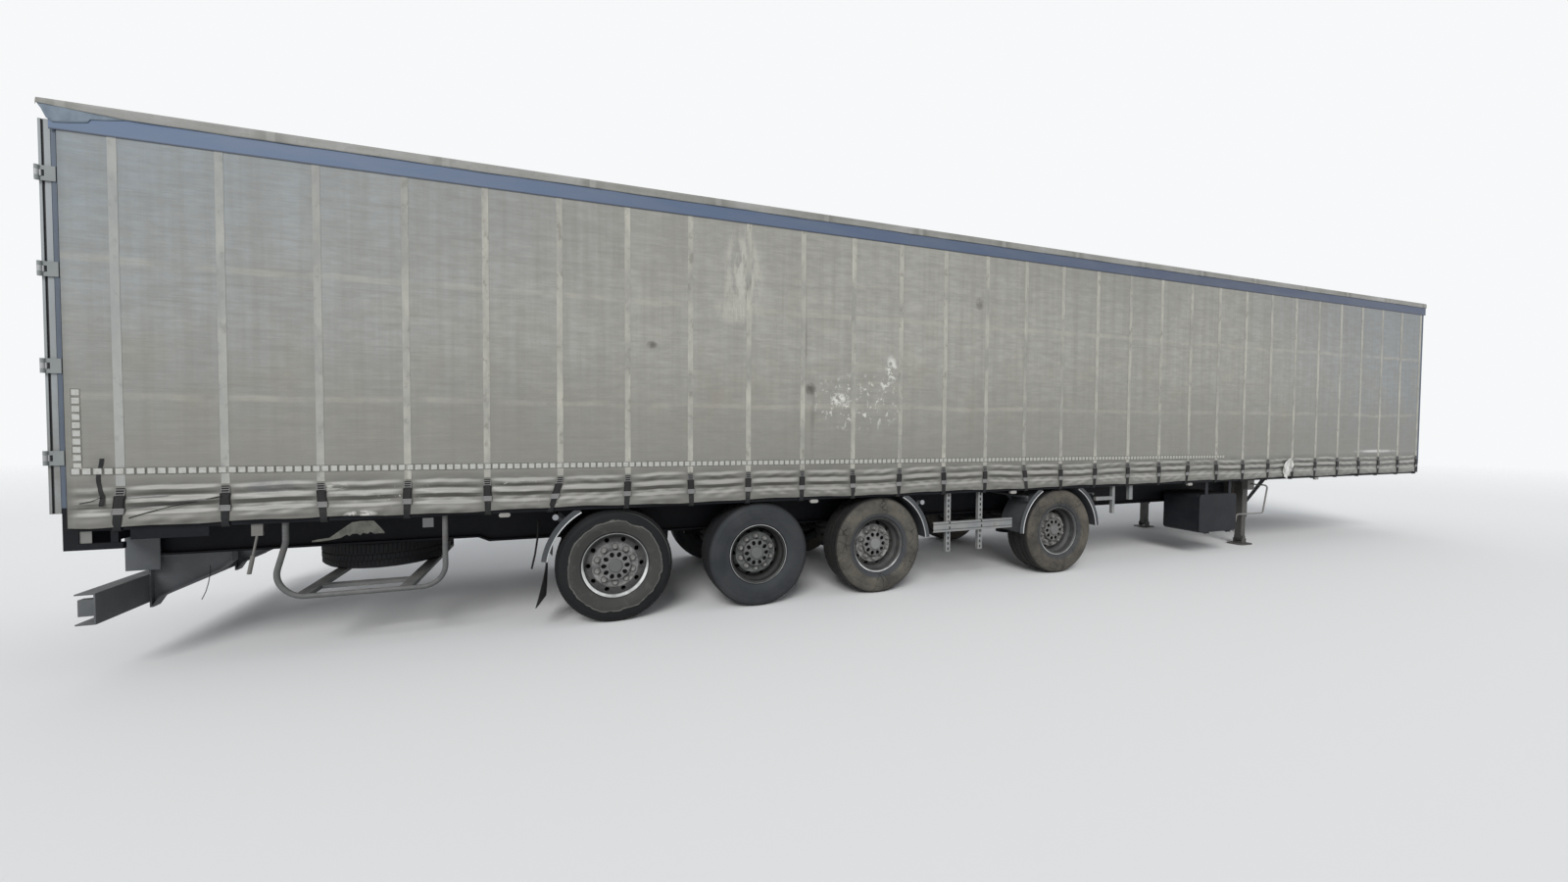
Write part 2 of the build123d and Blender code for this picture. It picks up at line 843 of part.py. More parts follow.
with BuildPart() as arm:
    with BuildSketch(Plane.XZ.offset(-arm_width / 2)):
        with BuildLine():
            Polyline(
                (hanger_ahead, hanger_pin_z + arm_eye_r - 8),
                (130, arm_top),
                (-bag_behind - bag_seat_x, arm_top),
                (-bag_behind - bag_seat_x, arm_top - 30),
                (-130, arm_top - 66),
                (130, arm_top - 66),
                (hanger_ahead, hanger_pin_z - arm_eye_r + 8),
                close=True,
            )
        make_face()
        with Locations((hanger_ahead, hanger_pin_z)):
            Circle(arm_eye_r)
            Circle(hanger_pin_r + running_gap, mode=Mode.SUBTRACT)
    extrude(amount=arm_width)
with BuildPart() as trailing_arms:
    with Locations(*suspension_places):
        add(arm.part)
keep(trailing_arms.part, "trailing_arms")

bag_r = 140
bag_height = rail_bottom - arm_top
with BuildPart() as air_spring:
    with BuildSketch(Plane.XZ):
        with BuildLine():
            Polyline((0, 0), (88, 0), (95, 12), (82, bag_height * 0.38), (110, bag_height * 0.42))
            ThreePointArc(
                (110, bag_height * 0.42), (bag_r, bag_height * 0.58), (115, bag_height * 0.72)
            )
            ThreePointArc(
                (115, bag_height * 0.72), (bag_r, bag_height * 0.85), (112, bag_height - 8)
            )
            Polyline((112, bag_height - 8), (112, bag_height), (0, bag_height), (0, 0))
        make_face()
    revolve(axis=Axis.Z)
with BuildPart() as air_springs:
    with Locations(*[(x - bag_behind, y, arm_top) for x, y, z in suspension_places]):
        add(air_spring.part)
keep(air_springs.part, "air_springs")

# Mudguards: axle, start, end and stay of the arc in degrees from straight ahead, over the top
guard_r = 590
guard_wall = 5
guard_y = (858, 1249)
guard_lip = 50
stay_r = 15
stay_ring = 700
clamp_width = 34
guard_arcs = [(0, 120, 172, 137), (2, 5, 61, 40), (3, 120, 179, 140), (3, 4, 61, 40)]
with BuildPart() as mudguards_right:
    for axle_number, start, end, stay in guard_arcs:
        x = axle_x[axle_number]
        for plane_y, depth, height in (
            (guard_y[0], guard_y[1] - guard_y[0], guard_wall),
            (guard_y[1] - guard_wall, guard_wall, guard_lip),
        ):
            with BuildSketch(Plane.XZ.offset(plane_y)):
                with BuildLine():
                    CenterArc((x, tyre_r), guard_r, start, end - start)
                    CenterArc((x, tyre_r), guard_r + height, start, end - start)
                    for angle in (radians(start), radians(end)):
                        Line(
                            (x + guard_r * cos(angle), tyre_r + guard_r * sin(angle)),
                            (
                                x + (guard_r + height) * cos(angle),
                                tyre_r + (guard_r + height) * sin(angle),
                            ),
                        )
                make_face()
            extrude(amount=depth)
        block(
            (x - stay_ring, x + stay_ring),
            (-guard_y[1], -guard_y[1] + 2 * guard_wall),
            (rave_bottom - clear_gap, tyre_r + stay_ring),
            mode=Mode.SUBTRACT,
        )
        stay_angle = radians(stay)
        clamp_middle = (guard_r + 1 + stay_ring) / 2
        with BuildSketch(Plane.XZ.offset(web_back)):
            with Locations((x + stay_ring * cos(stay_angle), tyre_r + stay_ring * sin(stay_angle))):
                Circle(stay_r)
        extrude(amount=guard_y[1] - web_back)
        for clamp_y in (guard_y[0] + 40, guard_y[1] - 60):
            with BuildSketch(Plane.XZ.offset(clamp_y)):
                with Locations(
                    (x + clamp_middle * cos(stay_angle), tyre_r + clamp_middle * sin(stay_angle))
                ):
                    Rectangle(stay_ring - guard_r - 1, clamp_width, rotation=stay)
            extrude(amount=guard_wall)
keep(both_sides(mudguards_right.part), "mudguards")

flap_thick = 6
flap_bottom = 206
flap_angle = radians(guard_arcs[0][2])
flap_face_x = axle_x[0] + (guard_r + guard_wall) * cos(flap_angle) - running_gap
flap_top_z = tyre_r + (guard_r + guard_wall) * sin(flap_angle)
flap_outline = [
    (flap_face_x - flap_thick, flap_top_z + 30),
    (flap_face_x, flap_top_z + 30),
    (flap_face_x, flap_top_z - 5),
    (flap_face_x - 34, flap_bottom),
    (flap_face_x - 34 - flap_thick, flap_bottom),
    (flap_face_x - flap_thick, flap_top_z - 5),
]
flap_right = plate_xz(flap_outline, -guard_y[1] + guard_wall + 1, -guard_y[0])
keep(both_sides(flap_right), "mud_flaps")

# Side guards: two hanging posts with the one rail that is left, and a stub further on
guard_post_offsets = [3690, 4140]
guard_post_width = 60
guard_post_y = (1163, 1205)
guard_post_bottom = 385
guard_rail = (3470, 4590)
guard_rail_z = (620, 735)
guard_rail_y = (1205, 1232)
guard_slot = (12, 28)
guard_slot_pitch = 62
guard_slots = 11
rail_groove = 2
stub_offset = 6600
stub_bottom = 870
with BuildPart() as side_guard_right:
    for place in guard_post_offsets:
        x = hub_x + place
        block(
            (x - guard_post_width / 2, x + guard_post_width / 2),
            (-guard_post_y[1], -guard_post_y[1] + 5),
            (guard_post_bottom, rave_bottom),
        )
        for edge in (x - guard_post_width / 2, x + guard_post_width / 2 - 5):
            block(
                (edge, edge + 5),
                (-guard_post_y[1], -guard_post_y[0]),
                (guard_post_bottom, rave_bottom),
            )
    block(
        (hub_x + guard_rail[0], hub_x + guard_rail[1]),
        (-guard_rail_y[1], -guard_rail_y[1] + 4),
        guard_rail_z,
    )
    for shelf in (guard_rail_z[0], guard_rail_z[1] - 4):
        block(
            (hub_x + guard_rail[0], hub_x + guard_rail[1]),
            (-guard_rail_y[1], -guard_rail_y[0]),
            (shelf, shelf + 4),
        )
    for groove in (guard_rail_z[0] + 22, guard_rail_z[1] - 30):
        block(
            (hub_x + guard_rail[0], hub_x + guard_rail[1]),
            (-guard_rail_y[1], -guard_rail_y[1] + rail_groove),
            (groove, groove + 8),
            mode=Mode.SUBTRACT,
        )
    slot_middle_z = guard_post_bottom + guard_slot_pitch * guard_slots / 2
    with BuildSketch(Plane.XZ.offset(guard_post_y[1] - 5)):
        for place in guard_post_offsets:
            with Locations((hub_x + place, slot_middle_z)):
                with GridLocations(guard_slot_pitch, guard_slot_pitch, 1, guard_slots):
                    Rectangle(*guard_slot)
    extrude(amount=5, mode=Mode.SUBTRACT)
    x = hub_x + stub_offset
    block(
        (x - guard_post_width / 2, x + guard_post_width / 2),
        (-guard_post_y[1], -guard_post_y[0]),
        (stub_bottom, rave_bottom),
    )

# Bent support arm behind the stub, on the right side only
support_x = (hub_x + 5980, hub_x + 6310)
support_bottom = 700
with BuildPart() as support_arm:
    block((support_x[1] - 45, support_x[1]), (-1204, -1164), (support_bottom, rave_bottom))
    block(support_x, (-1204, -1164), (support_bottom + 180, support_bottom + 225))
keep(join(both_sides(side_guard_right.part), support_arm.part), "side_guards")

# Underrun guard: a channel across the rear on two gusseted brackets under the rails
channel_x = (hub_x - 3650, hub_x - 3540)
channel_z = (388, 612)
channel_half = 1200
channel_wall = 10
end_plate_x = (frame_rear_x, frame_rear_x + 209)
end_block_y = (channel_half - 70, channel_half - 15)
with BuildPart() as underrun_guard:
    block((channel_x[1] - channel_wall, channel_x[1]), (-channel_half, channel_half), channel_z)
    for shelf in (channel_z[0], channel_z[1] - channel_wall):
        block(channel_x, (-channel_half, channel_half), (shelf, shelf + channel_wall))
    for side in (-1, 1):
        block(
            (channel_x[0] + 8, channel_x[1]),
            sorted((side * end_block_y[0], side * end_block_y[1])),
            (channel_z[0] + 60, channel_z[1] - 45),
        )

gusset_low = channel_z[0] - 43
gusset_front = hub_x - 3020
gusset_outline = [
    (channel_x[1], rail_rear_bottom),
    (channel_x[1], gusset_low),
    (channel_x[1] + 20, gusset_low),
    (channel_x[1] + 62, gusset_low + 70),
    (gusset_front - 68, rail_rear_bottom - 154),
    (gusset_front, rail_rear_bottom - 85),
    (gusset_front, rail_rear_bottom),
]
gusset_right = plate_xz(gusset_outline, -rail_y - 6, -rail_y + 6)
with BuildPart() as gusset_flange:
    with BuildSketch(Plane.XZ.offset(rail_y - 45)):
        with BuildLine():
            Polyline(*gusset_outline, close=True)
        make_face()
        with BuildLine():
            Polyline(*[(px - 4, pz + 14) for px, pz in gusset_outline], close=True)
        make_face(mode=Mode.SUBTRACT)
    extrude(amount=90)
with BuildPart() as underrun_plates:
    block(
        (channel_x[1], channel_x[1] + 12),
        (-rail_y - 45, -rail_y + 45),
        (gusset_low, rail_rear_bottom),
    )
    block(
        (channel_x[1], gusset_front),
        (-rail_y - 45, -rail_y + 45),
        (rail_rear_bottom - 12, rail_rear_bottom),
    )
    block(end_plate_x, (-flange_out - 8, -rail_y), (rail_rear_bottom - 12, rail_rear_bottom))
    block(end_plate_x, (-flange_out - 8, -flange_out), (rail_rear_bottom - 109, sill_bottom))
underrun_bracket = join(gusset_right, gusset_flange.part, underrun_plates.part)
keep(join(underrun_guard.part, both_sides(underrun_bracket)), "underrun_guard")

# Rear lamps on the sill
lamp_y = (430, 830)
lamp_z = (985, 1105)
lamp_thick = 34
with BuildPart() as rear_lamps:
    for side in (-1, 1):
        block(
            (frame_rear_x - lamp_thick, frame_rear_x),
            sorted((side * lamp_y[0], side * lamp_y[1])),
            lamp_z,
        )
    fillet(rear_lamps.edges().filter_by(Axis.X), radius=20)
keep(rear_lamps.part, "rear_lamps")

# Spare wheel basket: a tube hoop at the right side, two flat cross bars and a bar between them
tube_r = 21
hoop_y = 1200
basket_z = 470
hoop_bend = 175
basket_far_y = 560
cross_offsets = [-2355, -1660]
cross_width = 90
cross_low = basket_z - 10
cross_high = basket_z + tube_r
inner_bar_y = (-960, -880)
hoop_points = [
    (-2450, rave_bottom),
    (-2450, rave_bottom - 160),
    (-2530, 600),
    (-2400, basket_z),
    (-1374, basket_z),
    (-1374, rave_bottom),
]
hoop_path = [(hub_x + px, -hoop_y, pz) for px, pz in hoop_points]
with BuildPart() as hoop:
    with BuildLine():
        FilletPolyline(*hoop_path, radius=hoop_bend)
    with BuildSketch(Plane(origin=hoop_path[0], z_dir=(0, 0, -1))):
        Circle(tube_r)
    sweep()
with BuildPart() as basket_bars:
    for place in cross_offsets:
        x = (hub_x + place - cross_width / 2, hub_x + place + cross_width / 2)
        block(x, (-hoop_y, basket_far_y), (cross_low, cross_high))
        block(x, (basket_far_y - 10, basket_far_y), (cross_low, rail_rear_bottom))
    block(
        (hub_x + cross_offsets[0], hub_x + cross_offsets[1]), inner_bar_y, (cross_low, cross_high)
    )
keep(join(hoop.part, basket_bars.part), "spare_basket")

# Spare wheel, lying flat between the rails on the basket's cross tubes
spare_x = hub_x - 2080
spare_low = basket_z + tube_r + running_gap
spare_turn = (90, 0, 0)
with BuildPart() as spare_rim:
    with BuildSketch(Plane.XY):
        with BuildLine():
            Polyline(*[(r, u - tyre_centre) for r, u in rim_section()], close=True)
        make_face()
        with BuildLine():
            Polyline(
                (110, 60), (200, 60), (rim_well_r - rim_wall + 1, 44), (rim_well_r - rim_wall + 1, 30),
                (200, 46), (110, 46), close=True,
            )
        make_face()
    revolve(axis=Axis.Y)
    with BuildSketch(Plane.XZ.offset(-80)):
        with PolarLocations(229, 10):
            Circle(hand_hole_r)
    extrude(amount=80, mode=Mode.SUBTRACT)
with BuildPart() as spare_rim_laid:
    with Locations(Location((spare_x, 0, spare_low + tyre_width / 2), spare_turn)):
        add(spare_rim.part)
keep(spare_rim_laid.part, "spare_rim")
with BuildPart() as spare_tyre:
    with Locations(Location((spare_x, 0, spare_low + tyre_width / 2), spare_turn)):
        add(tyre.part.moved(Location((0, -tyre_centre, 0))))
keep(spare_tyre.part, "spare_tyre")

# Hanging rod with a thicker grip, under the right side rail
rod_y = -1224
rod_top_end = (hub_x - 2612, rod_y, 985)
rod_low_end = (hub_x - 2668, rod_y, 680)
rod_grip_end = (hub_x - 2642, rod_y, 820)
with BuildPart() as rod_bracket:
    block(
        (rod_top_end[0] - 35, rod_top_end[0] + 35),
        (rod_y - 8, rod_y + 8),
        (rod_top_end[2] - 16, rave_bottom),
    )
hanging_rod = join(
    rod_bracket.part, rod(rod_top_end, rod_low_end, 8), rod(rod_grip_end, rod_low_end, 14)
)
keep(hanging_rod, "hanging_rod")

# Stowage box with a drop door, hung behind the right landing leg
box_x = (hub_x + 7950, hub_x + 8750)
box_y = (-1205, -690)
box_z = (335, 880)
box_wall = 8
box_door_thick = 12
box_door_gap = 6
box_corner = 60
box_front = box_y[0] + box_door_thick
box_door_back = box_front - box_door_gap
box_hinge_y = box_y[0]
box_hinge_z = box_z[0] - 10
box_pin_r = 4
box_knuckle_r = 8
box_knuckle = 40
box_side_knuckle = 26
box_hinge_x = [box_x[0] + 170, box_x[1] - 170]
box_strap_x = [box_x[0] + 120, box_x[1] - 180]
with BuildPart() as stowage_box:
    with BuildSketch(Plane.XZ.offset(-box_front)):
        with Locations(((box_x[0] + box_x[1]) / 2, (box_z[0] + box_z[1]) / 2)):
            RectangleRounded(box_x[1] - box_x[0], box_z[1] - box_z[0], box_corner)
    extrude(amount=box_front - box_y[1])
    with BuildSketch(Plane.XZ.offset(-box_front)):
        with Locations(((box_x[0] + box_x[1]) / 2, (box_z[0] + box_z[1]) / 2)):
            RectangleRounded(
                box_x[1] - box_x[0] - 2 * box_wall,
                box_z[1] - box_z[0] - 2 * box_wall,
                box_corner - box_wall,
            )
    extrude(amount=box_front - box_y[1] + box_wall, mode=Mode.SUBTRACT)
    for place in box_strap_x:
        block((place, place + 60), (box_front - 11, box_front + 1), (box_z[1] - 2, rave_bottom))
        block((place, place + 60), (box_y[1], -web_back), (box_z[1] - 70, box_z[1] - 58))
    for x in box_hinge_x:
        for edge in (x - box_knuckle / 2 - 1 - box_side_knuckle, x + box_knuckle / 2 + 1):
            with BuildSketch(Plane.YZ.offset(edge)):
                with Locations((box_hinge_y, box_hinge_z)):
                    Circle(box_knuckle_r)
            extrude(amount=box_side_knuckle)
            block(
                (edge, edge + box_side_knuckle),
                (box_hinge_y + 2, box_front + 40),
                (box_z[0] - 8, box_z[0] - 2),
            )
            block(
                (edge, edge + box_side_knuckle),
                (box_front, box_front + 40),
                (box_z[0] - 8, box_z[0] + 1),
            )
        with BuildSketch(Plane.YZ.offset(x - box_knuckle)):
            with Locations((box_hinge_y, box_hinge_z)):
                Circle(box_pin_r)
        extrude(amount=2 * box_knuckle)
keep(stowage_box.part, "stowage_box")
with BuildPart() as box_door:
    with BuildSketch(Plane.XZ.offset(-box_door_back)):
        with Locations(((box_x[0] + box_x[1]) / 2, (box_z[0] + box_z[1]) / 2)):
            RectangleRounded(box_x[1] - box_x[0] - 4, box_z[1] - box_z[0] - 4, box_corner)
    extrude(amount=box_door_thick - box_door_gap)
    for x in box_hinge_x:
        with BuildSketch(Plane.YZ.offset(x - box_knuckle / 2)):
            with Locations((box_hinge_y, box_hinge_z)):
                Circle(box_knuckle_r)
            with Locations((box_door_back - 3, box_hinge_z + 12)):
                Rectangle(6, 24)
            with Locations((box_hinge_y, box_hinge_z)):
                Circle(box_pin_r + running_gap, mode=Mode.SUBTRACT)
        extrude(amount=box_knuckle)
keep(box_door.part, "box_door")

# Landing legs: outer tube with its bracket, inner tube, pivot and foot plate
leg_x = hub_x + 9530
leg_y = 800
leg_tube = 120
leg_inner = 96
leg_top = 1080
leg_bracket_z = (rail_bottom + 43, leg_top - 20)
leg_tube_bottom = 430
foot_size = (300, 240)
foot_thick = 14
with BuildPart() as leg_right:
    block(
        (leg_x - leg_tube / 2, leg_x + leg_tube / 2),
        (-leg_y - leg_tube / 2, -leg_y + leg_tube / 2),
        (leg_tube_bottom, leg_top),
    )
    block(
        (leg_x - leg_inner / 2, leg_x + leg_inner / 2),
        (-leg_y - leg_inner / 2, -leg_y + leg_inner / 2),
        (95, leg_tube_bottom),
    )
    block((leg_x - 110, leg_x + 110), (-leg_y + leg_tube / 2, -web_back), leg_bracket_z)
    with BuildSketch(Plane.XZ.offset(leg_y - 62)):
        with Locations((leg_x, 70)):
            Circle(34)
        with Locations((leg_x, 100)):
            Rectangle(68, 60)
    extrude(amount=124)
    with BuildSketch(Plane.XY):
        with Locations((leg_x, -leg_y)):
            RectangleRounded(*foot_size, 60)
    extrude(amount=foot_thick)
    for y in (-leg_y - 66, -leg_y + 54):
        block((leg_x - 50, leg_x + 50), (y, y + 12), (foot_thick - 1, 90))
shaft_z = 640
shaft_r = 16
brace_low_z = 520
brace_high_x = neck_start_x + 60
brace_half = 28
inner_face = leg_y - leg_tube / 2
cross_shaft = rod((leg_x, -inner_face, shaft_z), (leg_x, inner_face, shaft_z), shaft_r)
keep(join(both_sides(leg_right.part), cross_shaft), "landing_legs")
leg_front = leg_x + leg_tube / 2
brace_outline = [
    (leg_front, brace_low_z - brace_half),
    (brace_high_x, neck_bottom - 2 * brace_half),
    (brace_high_x, neck_bottom),
    (brace_high_x - 60, neck_bottom),
    (leg_front, brace_low_z + brace_half),
]
brace_bar = plate_xz(brace_outline, -flange_out - 80, -flange_out - 70)
with BuildPart() as brace_foot:
    block(
        (brace_high_x - 60, brace_high_x),
        (-flange_out - 80, -web_back),
        (neck_bottom - 12, neck_bottom),
    )
keep(both_sides(join(brace_bar, brace_foot.part)), "leg_braces")

# Crank: gear case on the right leg, shaft out to the side, folded handle and grip
crank_r = 11
crank_y = -1165
crank_z = 960
leg_outer_face = -leg_y - leg_tube / 2
crank_points = [
    (leg_x, leg_outer_face - 70, crank_z),
    (leg_x, crank_y, crank_z),
    (leg_x - 100, crank_y, 545),
    (leg_x - 700, crank_y, 555),
    (leg_x - 770, crank_y, 310),
]
with BuildPart() as landing_crank:
    block((leg_x - 80, leg_x + 80), (leg_outer_face - 80, leg_outer_face), (crank_z - 90, crank_z + 70))
    with BuildLine():
        FilletPolyline(*crank_points, radius=45)
    with BuildSketch(Plane(origin=crank_points[0], z_dir=(0, -1, 0))):
        Circle(crank_r)
    sweep()
keep(landing_crank.part, "landing_crank")

# Coupling: rubbing plate under the neck with its kingpin
kingpin_x = front_x - 1450
plate_thick = 10
plate_half = 700
plate_bottom = neck_bottom - plate_thick
kingpin_r = 25.4
kingpin_neck = 35
kingpin_collar_r = 36.5
kingpin_collar = 14
kingpin_head_r = 35.7
kingpin_head = 35
kingpin_flange_r = 105
kingpin_flange = 16
with BuildPart() as coupler_plate:
    block((neck_start_x + 70, front_body_x), (-plate_half, plate_half), (plate_bottom, neck_bottom))
    with BuildSketch(Plane.XY.offset(plate_bottom)):
        with Locations((kingpin_x, 0)):
            Circle(kingpin_collar_r + running_gap)
    extrude(amount=plate_thick, mode=Mode.SUBTRACT)
keep(coupler_plate.part, "coupler_plate")
collar_low = plate_bottom - kingpin_collar
neck_low = collar_low - kingpin_neck
with BuildPart() as kingpin:
    for top, radius, height in (
        (neck_bottom + kingpin_flange, kingpin_flange_r, kingpin_flange),
        (neck_bottom, kingpin_collar_r, plate_thick + kingpin_collar),
        (collar_low, kingpin_r, kingpin_neck),
        (neck_low, kingpin_head_r, kingpin_head),
    ):
        with BuildSketch(Plane.XY.offset(top - height)):
            with Locations((kingpin_x, 0)):
                Circle(radius)
        extrude(amount=height)
keep(kingpin.part, "kingpin")

# Air tanks across the frame, on brackets to the rails' webs
tank_r = 123
tank_half = 480
tank_z = 880
tank_places = [hub_x + 6900, hub_x + 7250]
with BuildPart() as air_tanks:
    for x in tank_places:
        with BuildSketch(Plane.XZ.offset(-tank_half)):
            with Locations((x, tank_z)):
                Circle(tank_r)
        extrude(amount=2 * tank_half)
        block((x - 30, x + 30), (-web_face, web_face), (tank_z - 50, tank_z + 50))
    tank_rims = air_tanks.edges().filter_by(GeomType.CIRCLE)
    fillet(tank_rims.filter_by(lambda edge: edge.radius > tank_r - 1), radius=50)
keep(air_tanks.part, "air_tanks")

# Line couplings on the front wall
with BuildPart() as line_couplings:
    block((front_x - front_wall_face, front_x - 22), (-260, 260), (1330, 1480))
    for y in (-200, -70, 70, 200):
        with BuildSketch(Plane.YZ.offset(front_x - 22)):
            with Locations((y, 1405)):
                Circle(30)
        extrude(amount=22)
keep(line_couplings.part, "line_couplings")
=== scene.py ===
import bpy
import bmesh
import json
import math
import random
import numpy as np
from mathutils import Matrix, Vector


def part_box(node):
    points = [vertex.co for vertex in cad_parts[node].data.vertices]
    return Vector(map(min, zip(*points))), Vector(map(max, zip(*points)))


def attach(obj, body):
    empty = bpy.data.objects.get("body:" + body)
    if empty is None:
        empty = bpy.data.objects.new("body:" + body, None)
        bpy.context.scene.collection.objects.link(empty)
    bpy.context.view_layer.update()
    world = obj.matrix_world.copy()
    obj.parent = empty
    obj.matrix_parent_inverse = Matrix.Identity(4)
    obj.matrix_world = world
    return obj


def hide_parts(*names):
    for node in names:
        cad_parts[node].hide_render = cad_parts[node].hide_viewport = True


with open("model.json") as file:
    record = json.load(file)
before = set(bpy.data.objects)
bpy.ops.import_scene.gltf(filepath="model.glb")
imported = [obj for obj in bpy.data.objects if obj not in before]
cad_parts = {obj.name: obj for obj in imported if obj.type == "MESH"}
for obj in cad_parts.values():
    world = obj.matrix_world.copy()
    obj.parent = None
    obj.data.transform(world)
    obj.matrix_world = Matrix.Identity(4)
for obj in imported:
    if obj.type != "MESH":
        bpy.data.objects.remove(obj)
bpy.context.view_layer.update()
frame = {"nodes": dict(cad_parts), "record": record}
nodes = frame["nodes"]
print("frame loaded:", len(nodes), "solids")

# Camera: wide lens, close to the right side near the rearmost wheel
camera = {
    "place": (-5.2465, -6.631, 1.837), "yaw": 20.51, "pitch": -1.65, "roll": 0.36,
    "lens": 13.0, "sensor": 36.0, "reach": 200.0,
}
bothSides = ((-1, "right"), (1, "left"))


def placeCamera(settings):
    yaw, pitch, roll = (math.radians(settings[key]) for key in ("yaw", "pitch", "roll"))
    ahead = Vector((math.sin(yaw) * math.cos(pitch), math.cos(yaw) * math.cos(pitch), math.sin(pitch)))
    right = Vector((math.cos(yaw), -math.sin(yaw), 0))
    up = right.cross(ahead)
    turnedRight = right * math.cos(roll) + up * math.sin(roll)
    turnedUp = up * math.cos(roll) - right * math.sin(roll)
    data = bpy.data.cameras.new("camera")
    data.lens = settings["lens"]
    data.sensor_width = settings["sensor"]
    data.clip_end = settings["reach"]
    obj = bpy.data.objects.new("camera", data)
    turn = Matrix((turnedRight, turnedUp, -ahead)).transposed().to_4x4()
    obj.matrix_world = Matrix.Translation(settings["place"]) @ turn
    bpy.context.collection.objects.link(obj)
    bpy.context.scene.camera = obj


placeCamera(camera)

# Light: a pale sky and one wide, soft sun from ahead of the camera's left shoulder
light = {
    "sky": 0.62, "skyColour": (0.92, 0.95, 1.0, 1), "background": (0.93, 0.94, 0.95, 1),
    "sun": 1.9, "sunSize": 28.0, "sunTurn": (52.0, 0.0, -28.0),
}


def addNode(tree, kind, inputs=None, **settings):
    # one node with its settings; an input is a plain value or the socket that feeds it
    made = tree.nodes.new(kind)
    for key, value in settings.items():
        setattr(made, key, value)
    for key, value in (inputs or {}).items():
        if isinstance(value, bpy.types.NodeSocket):
            tree.links.new(value, made.inputs[key])
        else:
            made.inputs[key].default_value = value
    return made


def lightUp(settings):
    scene = bpy.context.scene
    scene.view_settings.view_transform = "Standard"
    world = bpy.data.worlds.new("sky")
    scene.world = world
    world.use_nodes = True
    tree = world.node_tree
    tree.nodes.clear()
    # the camera, metal and glass see the plain background, and the sky lights the rest
    path = addNode(tree, "ShaderNodeLightPath").outputs
    seen = path["Is Camera Ray"]
    for name in ("Is Glossy Ray", "Is Transmission Ray"):
        seen = addNode(tree, "ShaderNodeMath", {0: seen, 1: path[name]}, operation="MAXIMUM").outputs[0]
    plain = addNode(tree, "ShaderNodeBackground", {"Color": settings["background"]})
    sky = addNode(tree, "ShaderNodeBackground", {"Color": settings["skyColour"], "Strength": settings["sky"]})
    mixed = addNode(tree, "ShaderNodeMixShader", {0: seen, 1: sky.outputs[0], 2: plain.outputs[0]})
    addNode(tree, "ShaderNodeOutputWorld", {0: mixed.outputs[0]})
    sun = bpy.data.lights.new("softSun", "SUN")
    sun.energy = settings["sun"]
    sun.angle = math.radians(settings["sunSize"])
    obj = bpy.data.objects.new("softSun", sun)
    obj.rotation_euler = [math.radians(value) for value in settings["sunTurn"]]
    bpy.context.collection.objects.link(obj)


lightUp(light)
print("camera and light placed")


